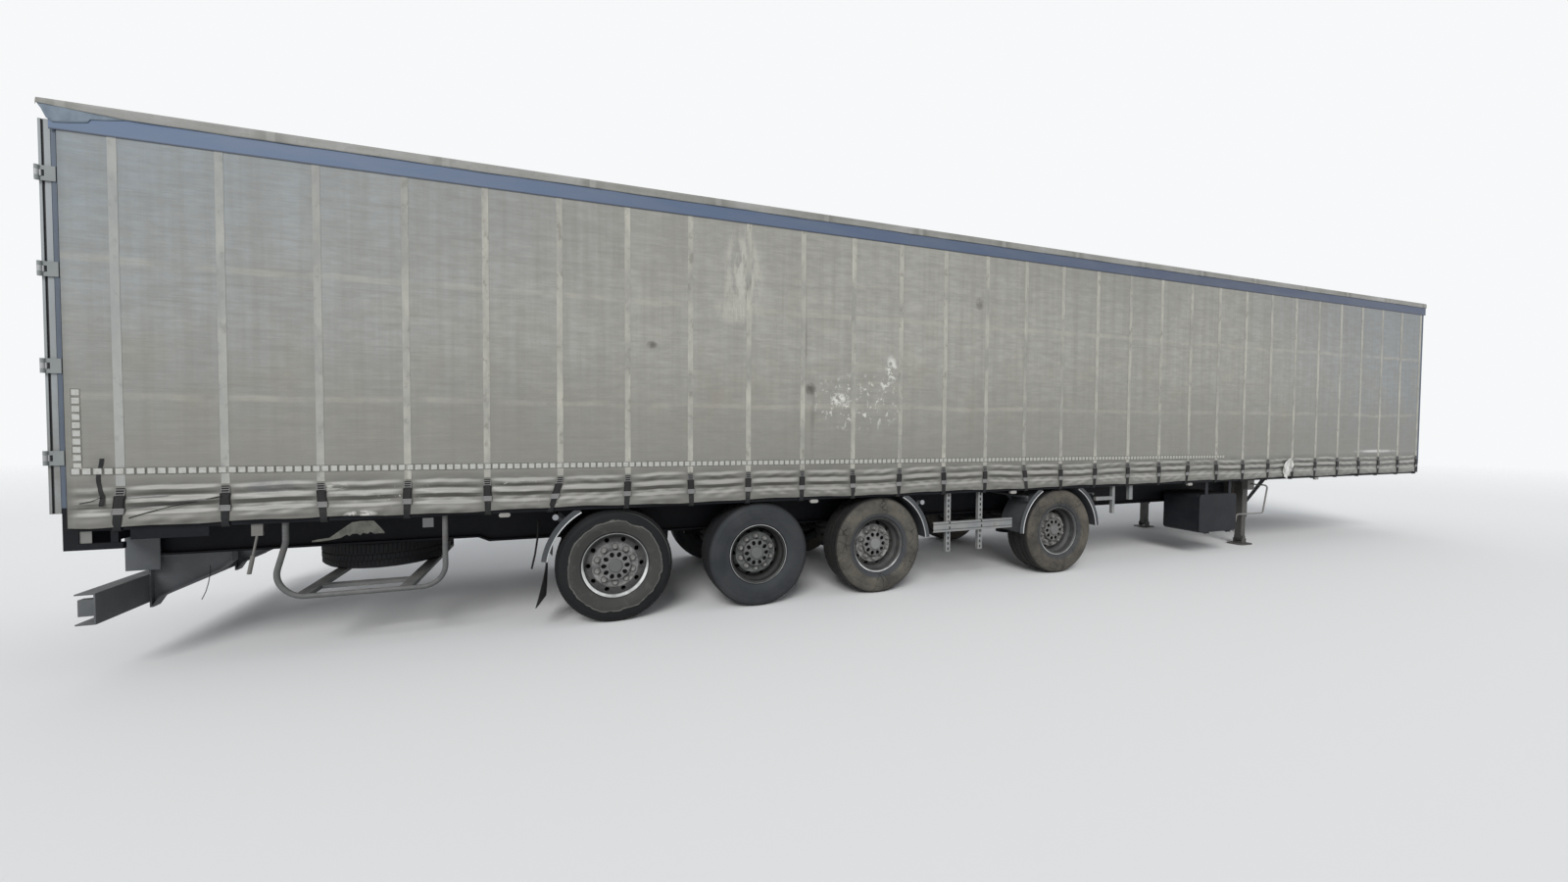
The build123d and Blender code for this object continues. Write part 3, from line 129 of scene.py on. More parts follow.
# Finishes. Every pattern reads the position on the trailer, in metres.
class Finish:
    def __init__(self, name, roughness=0.6, metallic=0.0, specular=0.5):
        self.material = bpy.data.materials.new(name)
        self.material.use_nodes = True
        self.tree = self.material.node_tree
        self.shader = self.tree.nodes["Principled BSDF"]
        self.shader.inputs["Roughness"].default_value = roughness
        self.shader.inputs["Metallic"].default_value = metallic
        self.shader.inputs["Specular IOR Level"].default_value = specular
        self.spot = self.add("ShaderNodeTexCoord").outputs["Object"]
        split = self.add("ShaderNodeSeparateXYZ", {0: self.spot})
        self.x, self.y, self.z = split.outputs
        self.height = None
        self.base = None

    def add(self, kind, inputs=None, **settings):
        return addNode(self.tree, kind, inputs, **settings)

    def noise(self, scale, detail=4.0, stretch=None, roughness=0.55):
        spot = self.spot
        if stretch:
            spot = self.add("ShaderNodeMapping", {"Vector": spot, "Scale": stretch}).outputs[0]
        inputs = {"Vector": spot, "Scale": scale, "Detail": detail, "Roughness": roughness}
        return self.add("ShaderNodeTexNoise", inputs).outputs["Fac"]

    def level(self, value, low, high, toLow=0.0, toHigh=1.0):
        inputs = {0: value, 1: low, 2: high, 3: toLow, 4: toHigh}
        return self.add("ShaderNodeMapRange", inputs).outputs[0]

    def math(self, kind, first, second=0.0):
        return self.add("ShaderNodeMath", {0: first, 1: second}, operation=kind).outputs[0]

    def times(self, first, second):
        return self.math("MULTIPLY", first, second)

    def squares(self, first, second):
        return self.math("ADD", self.math("POWER", first, 2.0), self.math("POWER", second, 2.0))

    def reach(self, first, second):
        return self.math("SQRT", self.squares(first, second))

    def fromAxle(self, x):
        # how far a point is ahead of the axle, above it and away from it
        across = self.math("SUBTRACT", self.x, x)
        upwards = self.math("SUBTRACT", self.z, tyre["radius"])
        return across, upwards, self.reach(across, upwards)

    def blend(self, factor, first, second):
        colours = [c if isinstance(c, bpy.types.NodeSocket) else (*c, 1.0) for c in (first, second)]
        inputs = {0: factor, 6: colours[0], 7: colours[1]}
        return self.add("ShaderNodeMix", inputs, data_type="RGBA").outputs[2]

    def cover(self, share, colour, strength=1.0):
        # lays a colour over what is painted so far
        if strength != 1.0:
            share = self.times(share, strength)
        self.base = self.blend(share, self.base, colour)

    def paint(self, colour):
        self.tree.links.new(colour, self.shader.inputs["Base Color"])

    def rough(self, value):
        self.tree.links.new(value, self.shader.inputs["Roughness"])

    def bump(self, height, distance=0.001, strength=0.6):
        inputs = {"Height": height, "Distance": distance, "Strength": strength}
        made = self.add("ShaderNodeBump", inputs)
        if self.height:
            self.tree.links.new(self.height, made.inputs["Normal"])
        self.height = made.outputs[0]
        self.tree.links.new(self.height, self.shader.inputs["Normal"])

    def upward(self):
        normal = self.add("ShaderNodeNewGeometry").outputs["Normal"]
        return self.add("ShaderNodeSeparateXYZ", {0: normal}).outputs[2]

    def band(self, value, middle, half, soft):
        away = self.math("ABSOLUTE", self.math("SUBTRACT", value, middle))
        return self.level(away, half + soft, half)

    def patch(self, x, z, halfX, halfZ, soft=0.9):
        # one in the middle of an oval, fading to nothing past its rim
        across = self.math("DIVIDE", self.math("SUBTRACT", self.x, x), halfX)
        upwards = self.math("DIVIDE", self.math("SUBTRACT", self.z, z), halfZ)
        return self.level(self.squares(across, upwards), 1.0 + soft, 0.15)

    def flecks(self, scale, low, high, stretch=None, detail=6.0):
        return self.level(self.noise(scale, detail, stretch, 0.65), low, high)

    def crease(self, start, end, half=0.005):
        # a thin line on the cloth between two points given as x and z
        slope = (end[1] - start[1]) / (end[0] - start[0])
        wander = self.math("MULTIPLY_ADD", self.noise(6.0, 2.0), 0.02)
        wander.node.inputs[2].default_value = -0.01
        line = self.math("MULTIPLY_ADD", self.x, slope)
        line.node.inputs[2].default_value = start[1] - slope * start[0]
        away = self.math("SUBTRACT", self.math("ADD", self.z, wander), line)
        near = self.level(self.math("ABSOLUTE", away), half * 1.8, half * 0.5)
        middle, reach = (start[0] + end[0]) / 2, abs(end[0] - start[0]) / 2
        return self.times(near, self.band(self.x, middle, reach, 0.03))


def dustyPaint(name, colour, dust, amount, roughness=0.55, rust=0.0, metallic=0.0, specular=0.5):
    # paint or bare metal under road dust that lies thickest on what faces up
    made = Finish(name, roughness, metallic, specular)
    patches = made.level(made.noise(2.3, 6.0), 0.35, 0.7)
    made.base = made.blend(patches, colour, tuple(value * 0.7 for value in colour))
    grains = made.noise(38.0, 6.0, None, 0.7)
    lying = made.level(made.upward(), -0.3, 1.0, 0.25, 1.0)
    film = made.level(made.noise(5.0, 8.0, None, 0.65), 0.3, 0.75)
    dusted = made.times(made.times(film, lying), amount)
    dusted = made.math("ADD", dusted, made.times(made.level(grains, 0.55, 0.75), amount * 0.35))
    made.cover(dusted, dust)
    if rust:
        spots = made.level(made.noise(7.0, 9.0, None, 0.75), 0.62 - rust * 0.25, 0.72)
        made.cover(spots, (0.11, 0.045, 0.02), min(1.0, rust * 1.6))
    made.paint(made.base)
    made.rough(made.level(dusted, 0.0, 0.8, roughness, 0.92))
    made.bump(grains, 0.0006, 0.35)
    return made.material


roadDust = (0.24, 0.225, 0.19)
finishes = {
    "chassis_paint": dustyPaint(
        "chassisPaint", (0.0045, 0.0055, 0.009), roadDust, 0.07, 0.55, 0.08, specular=0.16,
    ),
    "frame_paint": dustyPaint("framePaint", (0.075, 0.1, 0.14), (0.2, 0.21, 0.21), 0.3, 0.5),
    "galvanised_steel": dustyPaint("zinc", (0.27, 0.28, 0.285), roadDust, 0.35, 0.45, 0.08, 0.5),
    "door_paint": dustyPaint("doorPaint", (0.27, 0.3, 0.31), roadDust, 0.4, 0.5),
    "door_steel": dustyPaint("doorSteel", (0.24, 0.26, 0.26), roadDust, 0.4, 0.45, 0.15, 0.4),
    "buckle_steel": dustyPaint("buckleBlack", (0.012, 0.012, 0.013), roadDust, 0.12, 0.5, specular=0.25),
    "leg_paint": dustyPaint("legPaint", (0.05, 0.05, 0.048), roadDust, 0.45, 0.55, 0.3),
    "pin_steel": dustyPaint("greasedSteel", (0.09, 0.085, 0.08), (0.05, 0.045, 0.04), 0.4, 0.3, 0.1, 0.8),
    "box_paint": dustyPaint("boxPaint", (0.009, 0.011, 0.016), roadDust, 0.12, 0.5, specular=0.2),
    "tank_paint": dustyPaint("tankPaint", (0.014, 0.016, 0.02), roadDust, 0.25, 0.45, specular=0.25),
    "coupling_metal": dustyPaint("couplingMetal", (0.28, 0.28, 0.28), roadDust, 0.3, 0.4, 0.0, 0.7),
    "wall_panel": dustyPaint("wallPanel", (0.36, 0.37, 0.38), roadDust, 0.3, 0.4, 0.0, 0.5),
    "guard_plastic": dustyPaint("guardPlastic", (0.085, 0.09, 0.095), roadDust, 0.35, 0.55),
    "bellows_rubber": dustyPaint("blackRubber", (0.01, 0.01, 0.011), roadDust, 0.2, 0.7, specular=0.2),
    "rim_paint": dustyPaint("rimPaint", (0.23, 0.225, 0.215), (0.16, 0.15, 0.13), 0.75, 0.45, 0.05, 0.25),
    "lamp_plastic": dustyPaint("lampLens", (0.33, 0.32, 0.3), roadDust, 0.35, 0.25),
}
deck = Finish("deckBoards", 0.6)
grain = deck.noise(3.0, 8.0, (1.0, 14.0, 1.0), 0.7)
deck.paint(deck.blend(deck.level(grain, 0.3, 0.7), (0.07, 0.042, 0.026), (0.14, 0.09, 0.055)))
deck.bump(deck.noise(160.0, 2.0), 0.0005, 0.5)
finishes["deck_boards"] = deck.material
print("paints mixed")

# Side curtains: coated cloth, stretched from the top rail to thirty buckles a side
curtain = {
    "face": 1.2605, "low": 1.093, "top": 3.944, "rear": -8.509, "front": 8.5435,
    "strapFirst": -8.2305, "strapPitch": 0.577, "strapCount": 30,
    "folds": [
        (1.45, 0.0), (1.375, -0.003), (1.342, 0.011), (1.33, 0.011), (1.3, 0.001), (1.266, 0.021),
        (1.255, 0.026),
        (1.241, 0.012), (1.222, -0.003), (1.2, 0.002), (1.165, 0.021), (1.125, 0.0265), (1.093, 0.023),
    ],
    "smallFold": [(1.36, 0.0), (1.325, 1.0), (1.308, 0.0)], "crest": 1.257,
    "bayColumns": 14, "hemRows": 60, "hemTop": 1.45, "upperRows": 18, "shadeTop": 1.5, "thick": 0.002,
    "slantTop": 1.35, "slantDrop": 0.3, "smallSlant": 0.05,
    "tilt": 0.034, "second": 0.004, "billow": 0.004, "crumple": 0.0035, "slow": 0.004,
    "seams": [(2.98, 0.0035), (2.03, 0.003)],
    "creases": [((-8.194, 1.211), (-7.7, 1.276)), ((-8.19, 1.285), (-7.98, 1.3))],
}
strapLast = curtain["strapFirst"] + curtain["strapPitch"] * (curtain["strapCount"] - 1)
slants = {0: 0.11, 5: 0.3, 14: -0.18, 19: 0.12, 26: -0.1}  # how far askew some straps hang

# place and half size of each mark, its speckle (scale, low, high, stretch), colour and strength
curtainMarks = [
    (-3.68, 3.3, 0.17, 0.36, (3.4, 0.4, 0.56, (5.0, 1.0, 1.4)), (0.46, 0.445, 0.39), 0.8),
    (-3.72, 2.95, 0.2, 0.12, (3.4, 0.44, 0.6, (5.0, 1.0, 1.0)), (0.46, 0.445, 0.39), 0.6),
    (-3.03, 2.7, 0.035, 0.55, (5.0, 0.38, 0.6, (2.0, 1.0, 0.5)), (0.12, 0.113, 0.094), 0.6),
    (-2.95, 2.2, 0.05, 0.06, (9.0, 0.3, 0.5), (0.07, 0.062, 0.05), 0.85),
    (-2.92, 1.88, 0.03, 0.34, (5.0, 0.42, 0.6, (2.0, 1.0, 0.4)), (0.13, 0.12, 0.1), 0.5),
    (-2.4, 2.08, 0.44, 0.24, (15.0, 0.56, 0.61, (1.0, 1.0, 0.8)), (0.66, 0.65, 0.6), 0.95),
    (-2.0, 2.44, 0.06, 0.12, (16.0, 0.5, 0.56), (0.68, 0.67, 0.62), 0.95),
    (-2.08, 2.3, 0.05, 0.07, (16.0, 0.5, 0.56), (0.68, 0.67, 0.62), 0.9),
    (-2.62, 2.1, 0.1, 0.06, (16.0, 0.5, 0.57), (0.66, 0.65, 0.6), 0.9),
    (-4.55, 2.57, 0.04, 0.03, (16.0, 0.35, 0.5), (0.08, 0.072, 0.06), 0.8),
    (-0.84, 3.24, 0.05, 0.06, (12.0, 0.35, 0.5), (0.11, 0.1, 0.085), 0.7),
    (-6.82, 1.11, 0.09, 0.022, (24.0, 0.42, 0.52), (0.66, 0.64, 0.6), 0.95),
    (-6.5, 1.26, 0.16, 0.09, (30.0, 0.62, 0.66), (0.6, 0.58, 0.53), 0.95),
    (-5.6, 1.25, 0.3, 0.1, (26.0, 0.63, 0.68), (0.55, 0.54, 0.5), 0.8),
    (-7.38, 1.345, 0.13, 0.05, (6.0, 0.3, 0.55), (0.12, 0.125, 0.125), 0.7),
    (-7.0, 1.33, 0.08, 0.03, (20.0, 0.42, 0.55, (0.4, 1.0, 1.5)), (0.5, 0.49, 0.45), 0.8),
    (-8.33, 1.5, 0.06, 0.1, (7.0, 0.3, 0.55), (0.13, 0.125, 0.11), 0.6),
    (7.3, 1.46, 0.5, 0.02, (8.0, 0.35, 0.5, (0.5, 1.0, 2.0)), (0.6, 0.6, 0.57), 0.8),
]


def clothFinish(name, side):
    # dirty warm grey cloth with runs and welds, a painted lit patch, painted bluish haze towards both ends,
    # painted shade under the top rail, in the wrinkles and on the hem's folds, painted highlights on the fold
    # crests and, on the right side, the marks of the photograph
    made = Finish(name, 0.52)
    broad = made.noise(0.55, 5.0, (1.0, 1.0, 1.6))
    lit = made.times(made.band(made.x, -2.2, 0.9, 2.0), made.level(made.z, 1.5, 2.0, 0.0, 0.55))
    made.base = made.blend(made.level(broad, 0.35, 0.68), (0.335, 0.33, 0.3), (0.275, 0.272, 0.25))
    high = made.times(made.level(made.z, 1.9, 2.6), made.level(made.z, 3.7, 3.1))
    made.cover(high, (0.4, 0.395, 0.36), 0.45)
    made.cover(lit, (0.4, 0.392, 0.352))
    # painted bluish haze of sky light towards the rear, above the hem
    rearSkyHaze = made.times(made.level(made.z, 1.6, 3.7), made.level(made.x, -4.6, -8.5, 0.0, 0.9))
    made.cover(rearSkyHaze, (0.245, 0.29, 0.325))
    # painted bluish haze of sky light towards the front
    made.cover(made.level(made.x, 3.5, 8.5, 0.0, 0.85), (0.225, 0.255, 0.285))
    brown = made.times(made.level(made.z, 3.6, 2.0), made.flecks(2.6, 0.45, 0.7, None, 10.0))
    made.cover(brown, (0.29, 0.265, 0.2), 0.6)
    runs = made.flecks(1.5, 0.42, 0.78, (7.0, 1.0, 0.28), 7.0)
    made.cover(runs, (0.185, 0.174, 0.142), 0.5)
    drips = made.times(made.flecks(3.2, 0.56, 0.7, (6.0, 1.0, 0.12), 5.0), made.level(made.z, 2.6, 1.6))
    made.cover(drips, (0.36, 0.335, 0.26), 0.45)
    mottle = made.flecks(15.0, 0.4, 0.75, (1.0, 1.0, 1.5), 8.0)
    made.cover(mottle, (0.35, 0.33, 0.275), 0.3)
    wrinkles = made.noise(5.0, 7.0, (0.3, 1.0, 7.0), 0.7)
    # painted shade following the wrinkles
    made.cover(made.level(wrinkles, 0.5, 0.72, 0.0, 0.3), (0.17, 0.163, 0.14))
    # darker with flecks just under the top rail: painted shade of the rail's overhang, and wear
    worn = made.times(made.level(made.z, 3.93, 3.75), made.flecks(9.0, 0.35, 0.6, (0.6, 1.0, 2.0)))
    made.cover(worn, (0.19, 0.185, 0.165), 0.35)
    made.cover(made.level(made.z, 2.5, 1.5, 0.0, 0.72), (0.205, 0.2, 0.178))
    # darker hem below the buckles: partly painted shade of the folds, partly grime
    hemShadeAndGrime = made.flecks(4.0, 0.1, 0.62, (0.5, 1.0, 1.2), 8.0)
    made.cover(made.times(made.level(made.z, 1.44, 1.37, 0.0, 0.9), hemShadeAndGrime), (0.13, 0.127, 0.113))
    facing = made.add("ShaderNodeAttribute", attribute_name="foldShade").outputs["Fac"]
    foldShadeBreakup = made.level(made.noise(7.0, 7.0, (0.4, 1.0, 1.6), 0.66), 0.2, 0.75, 0.55, 1.0)
    # painted shade: darker where the hem's folds face down, broken up by noise
    made.cover(made.times(made.level(facing, 0.45, 0.95, 0.0, 0.86), foldShadeBreakup), (0.05, 0.048, 0.043))
    # painted highlight: lighter where the hem's folds face up
    made.cover(made.level(facing, 0.45, 0.0, 0.0, 0.5), (0.44, 0.43, 0.4))
    wander = made.times(made.noise(1.3, 3.0), 0.09)
    for seam, slope in curtain["seams"]:
        line = made.math("ADD", made.z, wander)
        line = made.math("SUBTRACT", line, made.times(made.x, slope))
        weld = made.times(made.band(line, seam + 0.045, 0.012, 0.02), made.flecks(3.0, 0.35, 0.62))
        made.cover(weld, (0.41, 0.39, 0.33), 0.4)
    if side < 0:
        for x, z, halfX, halfZ, speck, colour, strength in curtainMarks:
            spot = made.times(made.patch(x, z, halfX, halfZ), made.flecks(*speck))
            made.cover(spot, colour, strength)
        for start, end in curtain["creases"]:
            made.cover(made.crease(start, end), (0.05, 0.05, 0.05), 0.8)
    made.paint(made.base)
    made.rough(made.level(made.z, 1.3, 1.6, 0.4, 0.6))
    made.bump(wrinkles, 0.006, 0.45)
    made.bump(made.noise(9.0, 7.0, (0.5, 1.0, 2.6), 0.66), 0.005, 0.35)
    weave = made.add("ShaderNodeTexWave", {"Vector": made.spot, "Scale": 180.0}, bands_direction="Z")
    made.bump(weave.outputs["Fac"], 0.0003, 0.25)
    return made.material


def smoothStep(value):
    value = np.clip(value, 0.0, 1.0)
    return value * value * (3.0 - 2.0 * value)


def slantDrop(z):
    # how far a point lies below the height where straps start to slant, up to a limit
    return np.clip(curtain["slantTop"] - z, 0.0, curtain["slantDrop"])


def foldProfile(z, points):
    # eased curve through the crests and valleys of the hem, from the top down
    reach = np.zeros_like(z)
    for (above, out), (below, then) in zip(points, points[1:]):
        share = smoothStep((above - z) / (above - below))
        reach = np.where((z <= above) & (z > below), out + (then - out) * share, reach)
    return np.where(z <= points[-1][0], points[-1][1], reach)


def curtainReach(x, z, settings, seed):
    # how far the cloth stands out of its plane at each point
    along = x if seed < 5 else settings["strapFirst"] + strapLast - x
    near = np.round((along - settings["strapFirst"]) / settings["strapPitch"])
    lean = np.zeros_like(x)
    for index, share in slants.items():
        lean[near == index] = share
    away = np.abs(along - settings["strapFirst"] - near * settings["strapPitch"]) / settings["strapPitch"]
    along = along + slantDrop(z) * lean * (1.0 - 2.0 * away)
    bay = (along - settings["strapFirst"]) / settings["strapPitch"]
    number = np.floor(bay).astype(int)
    within = bay - number
    between = np.clip((np.sin(math.pi * within) - 0.15) / 0.85, 0.0, 1.0)  # flat under the strap itself
    chance = random.Random(seed)
    table = np.array([[chance.uniform(0.0, 1.0) for _ in range(6)] for _ in range(40)])
    own = table[np.clip(number + 2, 0, 39)]
    tilt = (own[:, 2] - 0.5) * settings["tilt"] * (within - 0.5)
    wander = tilt + 0.006 * np.sin(x * 1.9 + seed) + 0.005 * np.sin(x * 6.7 + 2 * seed) * between
    folds = foldProfile(z - wander, settings["folds"])
    above = z - wander > settings["crest"] - 0.02
    size = np.where(above, 0.55 + 0.75 * own[:, 0], 0.75 + 0.5 * own[:, 1])
    pinch = between ** (0.35 + 0.3 * own[:, 3])
    small = foldProfile(z - wander * 2.5 - 0.012, settings["smallFold"])
    second = settings["second"] * (own[:, 4] > 0.55) * between * small
    billow = settings["billow"] * between * smoothStep((z - 1.4) / 0.5) * smoothStep((3.9 - z) / 0.4)
    ripples = np.sin(x * 33 + 4 * np.sin(z * 21 + 6 * own[:, 5]))
    crumple = settings["crumple"] * ripples * between * smoothStep((1.41 - z) / 0.08)
    slow = settings["slow"] * np.sin(x * 0.9 + seed) * np.sin((z - 1.1) * 1.1) * smoothStep((3.9 - z) / 0.3)
    ends = smoothStep((x - settings["rear"]) / 0.12) * smoothStep((settings["front"] - x) / 0.12)
    return (folds * size * pinch + second + crumple + billow + slow) * ends


def meshObject(name, points, faces, material=None, smooth=True):
    mesh = bpy.data.meshes.new(name)
    mesh.from_pydata([tuple(p) for p in points], [], faces)
    if smooth:
        mesh.polygons.foreach_set("use_smooth", [True] * len(mesh.polygons))
    if material:
        mesh.materials.append(material)
    mesh.update()
    obj = bpy.data.objects.new(name, mesh)
    bpy.context.collection.objects.link(obj)
    return obj


def gridFaces(columns, rows, flip=False):
    faces = []
    for i in range(columns):
        for j in range(rows):
            a = i * (rows + 1) + j
            quad = (a, a + rows + 1, a + rows + 2, a + 1)
            faces.append(tuple(reversed(quad)) if flip else quad)
    return faces


def solidify(obj, thick, offset=-1.0):
    wall = obj.modifiers.new("wall", "SOLIDIFY")
    wall.thickness = thick
    wall.offset = offset


def bake(obj):
    # turns what the modifiers make into the piece's own plain mesh
    bpy.context.view_layer.update()
    graph = bpy.context.evaluated_depsgraph_get()
    mesh = bpy.data.meshes.new_from_object(obj.evaluated_get(graph))
    old = obj.data
    obj.modifiers.clear()
    obj.data = mesh
    bpy.data.meshes.remove(old)
    mesh.name = obj.name
    return obj


def curtainPlaces(settings):
    # columns crowd towards the straps, where the folds are pinched
    share = np.linspace(0.0, 1.0, settings["bayColumns"] + 1)[:-1]
    share = share - 0.11 * np.sin(2 * math.pi * share)
    first, pitch = settings["strapFirst"], settings["strapPitch"]
    places = np.concatenate([first + pitch * (k + share) for k in range(-1, settings["strapCount"])])
    inside = (places > settings["rear"] + 0.01) & (places < settings["front"] - 0.01)
    return np.concatenate([[settings["rear"]], places[inside], [settings["front"]]])


def makeCurtain(name, side, settings):
    hem = np.linspace(settings["low"], settings["hemTop"], settings["hemRows"] + 1)
    upper = np.linspace(settings["hemTop"], settings["top"], settings["upperRows"] + 1)[1:]
    heights = np.concatenate([hem, upper])
    places = curtainPlaces(settings)
    x, z = (grid.ravel() for grid in np.meshgrid(places, heights, indexing="ij"))
    reach = curtainReach(x, z, settings, 3 if side < 0 else 8)
    y = side * (settings["face"] + settings["thick"] / 2 + reach)
    hemWave = 0.006 * np.sin(x * 3.1 + side) + 0.004 * np.sin(x * 10.7)
    z = z + hemWave * smoothStep((1.16 - z) / 0.06)
    obj = meshObject(name, np.column_stack([x, y, z]), gridFaces(len(places) - 1, len(heights) - 1, side > 0))
    obj.data.materials.append(clothFinish(name + "Cloth", side))
    # foldShade: how far each point of the hem faces down, which the cloth turns into painted shade and
    # painted highlight
    lifts = reach.reshape(len(places), len(heights))
    slope = np.gradient(lifts, heights, axis=1)
    shade = np.clip(0.5 + slope * 0.9, 0.0, 1.0)
    shade[:, heights > settings["shadeTop"]] = 0.5
    obj.data.attributes.new("foldShade", "FLOAT", "POINT").data.foreach_set("value", shade.ravel())
    solidify(obj, settings["thick"])
    return bake(obj)


curtains = {}
for side, cadName, name in ((-1, "curtain_right", "curtainRight"), (1, "curtain_left", "curtainLeft")):
    made = makeCurtain(name, side, curtain)
    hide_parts(cadName)
    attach(made, "chassis")
    curtains[side] = made
print("curtains hung")


# Geometry Nodes: rows, rings and what lies on the cloth
def newTree(name, sockets, takesMesh=False):
    tree = bpy.data.node_groups.new(name, "GeometryNodeTree")
    tree.interface.new_socket("Geometry", in_out="OUTPUT", socket_type="NodeSocketGeometry")
    if takesMesh:
        tree.interface.new_socket("Geometry", in_out="INPUT", socket_type="NodeSocketGeometry")
    for label, kind, value in sockets:
        made = tree.interface.new_socket(label, in_out="INPUT", socket_type="NodeSocket" + kind)
        if value is not None:
            made.default_value = value
    start = tree.nodes.new("NodeGroupInput")
    end = tree.nodes.new("NodeGroupOutput")
    return tree, start.outputs, end.inputs[0]


def treeMath(tree, kind, *values):
    return addNode(tree, "ShaderNodeMath", dict(enumerate(values)), operation=kind).outputs[0]


def treeVector(tree, parts):
    return addNode(tree, "ShaderNodeCombineXYZ", parts).outputs[0]


def placeCopies(tree, start, points, turn):
    # a copy of the piece on each point, made into real mesh
    piece = addNode(tree, "GeometryNodeObjectInfo", {"Object": start["Piece"]}).outputs["Geometry"]
    inputs = {"Points": points.outputs[0], "Instance": piece, "Rotation": turn}
    copies = addNode(tree, "GeometryNodeInstanceOnPoints", inputs)
    return addNode(tree, "GeometryNodeRealizeInstances", {0: copies.outputs[0]}).outputs[0]


def paintAndEnd(tree, start, end, geometry):
    inputs = {"Geometry": geometry, "Material": start["Finish"]}
    tree.links.new(addNode(tree, "GeometryNodeSetMaterial", inputs).outputs[0], end)
    return tree


def rowTree():
    sockets = [
        ("Piece", "Object", None), ("Count", "Int", 10), ("Start", "Vector", (0, 0, 0)),
        ("Step", "Vector", (1, 0, 0)), ("Turn", "Float", 0.0), ("Finish", "Material", None),
    ]
    tree, start, end = newTree("rowOfPieces", sockets)
    inputs = {"Count": start["Count"], "Start Location": start["Start"], "Offset": start["Step"]}
    line = addNode(tree, "GeometryNodeMeshLine", inputs)
    copies = placeCopies(tree, start, line, treeVector(tree, {2: start["Turn"]}))
    return paintAndEnd(tree, start, end, copies)


def ringTree():
    sockets = [
        ("Piece", "Object", None), ("Count", "Int", 10), ("Radius", "Float", 0.1),
        ("Phase", "Float", 0.0), ("Finish", "Material", None),
    ]
    tree, start, end = newTree("ringOfPieces", sockets)
    ring = addNode(tree, "GeometryNodeMeshCircle", {"Vertices": start["Count"], "Radius": start["Radius"]})
    index = addNode(tree, "GeometryNodeInputIndex").outputs[0]
    angle = treeMath(tree, "MULTIPLY", treeMath(tree, "DIVIDE", index, start["Count"]), math.tau)
    copies = placeCopies(tree, start, ring, treeVector(tree, {2: angle}))
    inputs = {"Geometry": copies, "Rotation": treeVector(tree, {2: start["Phase"]})}
    return paintAndEnd(tree, start, end, addNode(tree, "GeometryNodeTransform", inputs).outputs[0])


def layTree():
    # moves a flat piece sideways until it lies on the cloth
    sockets = [
        ("Cloth", "Object", None), ("Side", "Float", -1.0), ("Lift", "Float", 0.0), ("Miss", "Float", 1.262),
    ]
    tree, start, end = newTree("layOnCloth", sockets, True)
    cloth = addNode(tree, "GeometryNodeObjectInfo", {"Object": start["Cloth"]}, transform_space="RELATIVE")
    place = addNode(tree, "GeometryNodeInputPosition").outputs[0]
    x, y, z = addNode(tree, "ShaderNodeSeparateXYZ", {0: place}).outputs
    away = treeMath(tree, "MULTIPLY", start["Side"], 1.6)
    back = treeMath(tree, "MULTIPLY", start["Side"], -1.0)
    ray = addNode(tree, "GeometryNodeRaycast", {
        "Target Geometry": cloth.outputs["Geometry"],
        "Source Position": treeVector(tree, {0: x, 1: away, 2: z}),
        "Ray Direction": treeVector(tree, {1: back}), "Ray Length": 2.0,
    })
    hit = addNode(tree, "ShaderNodeSeparateXYZ", {0: ray.outputs["Hit Position"]}).outputs[1]
    missed = treeMath(tree, "MULTIPLY", start["Side"], start["Miss"])
    inputs = {0: ray.outputs["Is Hit"], 1: missed, 2: hit}
    found = addNode(tree, "GeometryNodeSwitch", inputs, input_type="FLOAT").outputs[0]
    depth = treeMath(tree, "ADD", treeMath(tree, "MULTIPLY_ADD", start["Side"], start["Lift"], found), y)
    inputs = {"Geometry": start["Geometry"], "Position": treeVector(tree, {0: x, 1: depth, 2: z})}
    tree.links.new(addNode(tree, "GeometryNodeSetPosition", inputs).outputs[0], end)
    return tree


def applyTree(obj, tree, values):
    step = obj.modifiers.new(tree.name, "NODES")
    step.node_group = tree
    for item in tree.interface.items_tree:
        if item.in_out == "INPUT" and item.name in values:
            step[item.identifier] = values[item.name]
    return obj


def emptyPiece(name):
    obj = bpy.data.objects.new(name, bpy.data.meshes.new(name))
    bpy.context.collection.objects.link(obj)
    return obj


trees = {"row": rowTree(), "ring": ringTree(), "lay": layTree()}


def joinPieces(name, pieces):
    # several pieces made into one mesh
    form = bmesh.new()
    slots = []
    for piece in pieces:
        for material in piece.data.materials:
            if material not in slots:
                slots.append(material)
    for piece in pieces:
        start = len(form.faces)
        form.from_mesh(piece.data)
        form.faces.ensure_lookup_table()
        for face in form.faces[start:]:
            own = piece.data.materials[face.material_index] if piece.data.materials else None
            face.material_index = slots.index(own) if own in slots else 0
    mesh = bpy.data.meshes.new(name)
    form.to_mesh(mesh)
    form.free()
    for material in slots:
        mesh.materials.append(material)
    for piece in pieces:
        old = piece.data
        bpy.data.objects.remove(piece)
        if old.users == 0:
            bpy.data.meshes.remove(old)
    obj = bpy.data.objects.new(name, mesh)
    bpy.context.collection.objects.link(obj)
    return obj


def addBox(form, low, high):
    corners = [(x, y, z) for x in (low[0], high[0]) for y in (low[1], high[1]) for z in (low[2], high[2])]
    points = [form.verts.new(corner) for corner in corners]
    for quad in ((0, 1, 3, 2), (4, 6, 7, 5), (0, 4, 5, 1), (2, 3, 7, 6), (0, 2, 6, 4), (1, 5, 7, 3)):
        form.faces.new([points[i] for i in quad])


def bridgeRings(form, rings):
    # walls from ring to ring of points, and a face over each end
    for lower, upper in zip(rings, rings[1:]):
        for k in range(len(lower)):
            n = (k + 1) % len(lower)
            form.faces.new((lower[k], lower[n], upper[n], upper[k]))
    form.faces.new(list(reversed(rings[0])))
    form.faces.new(rings[-1])


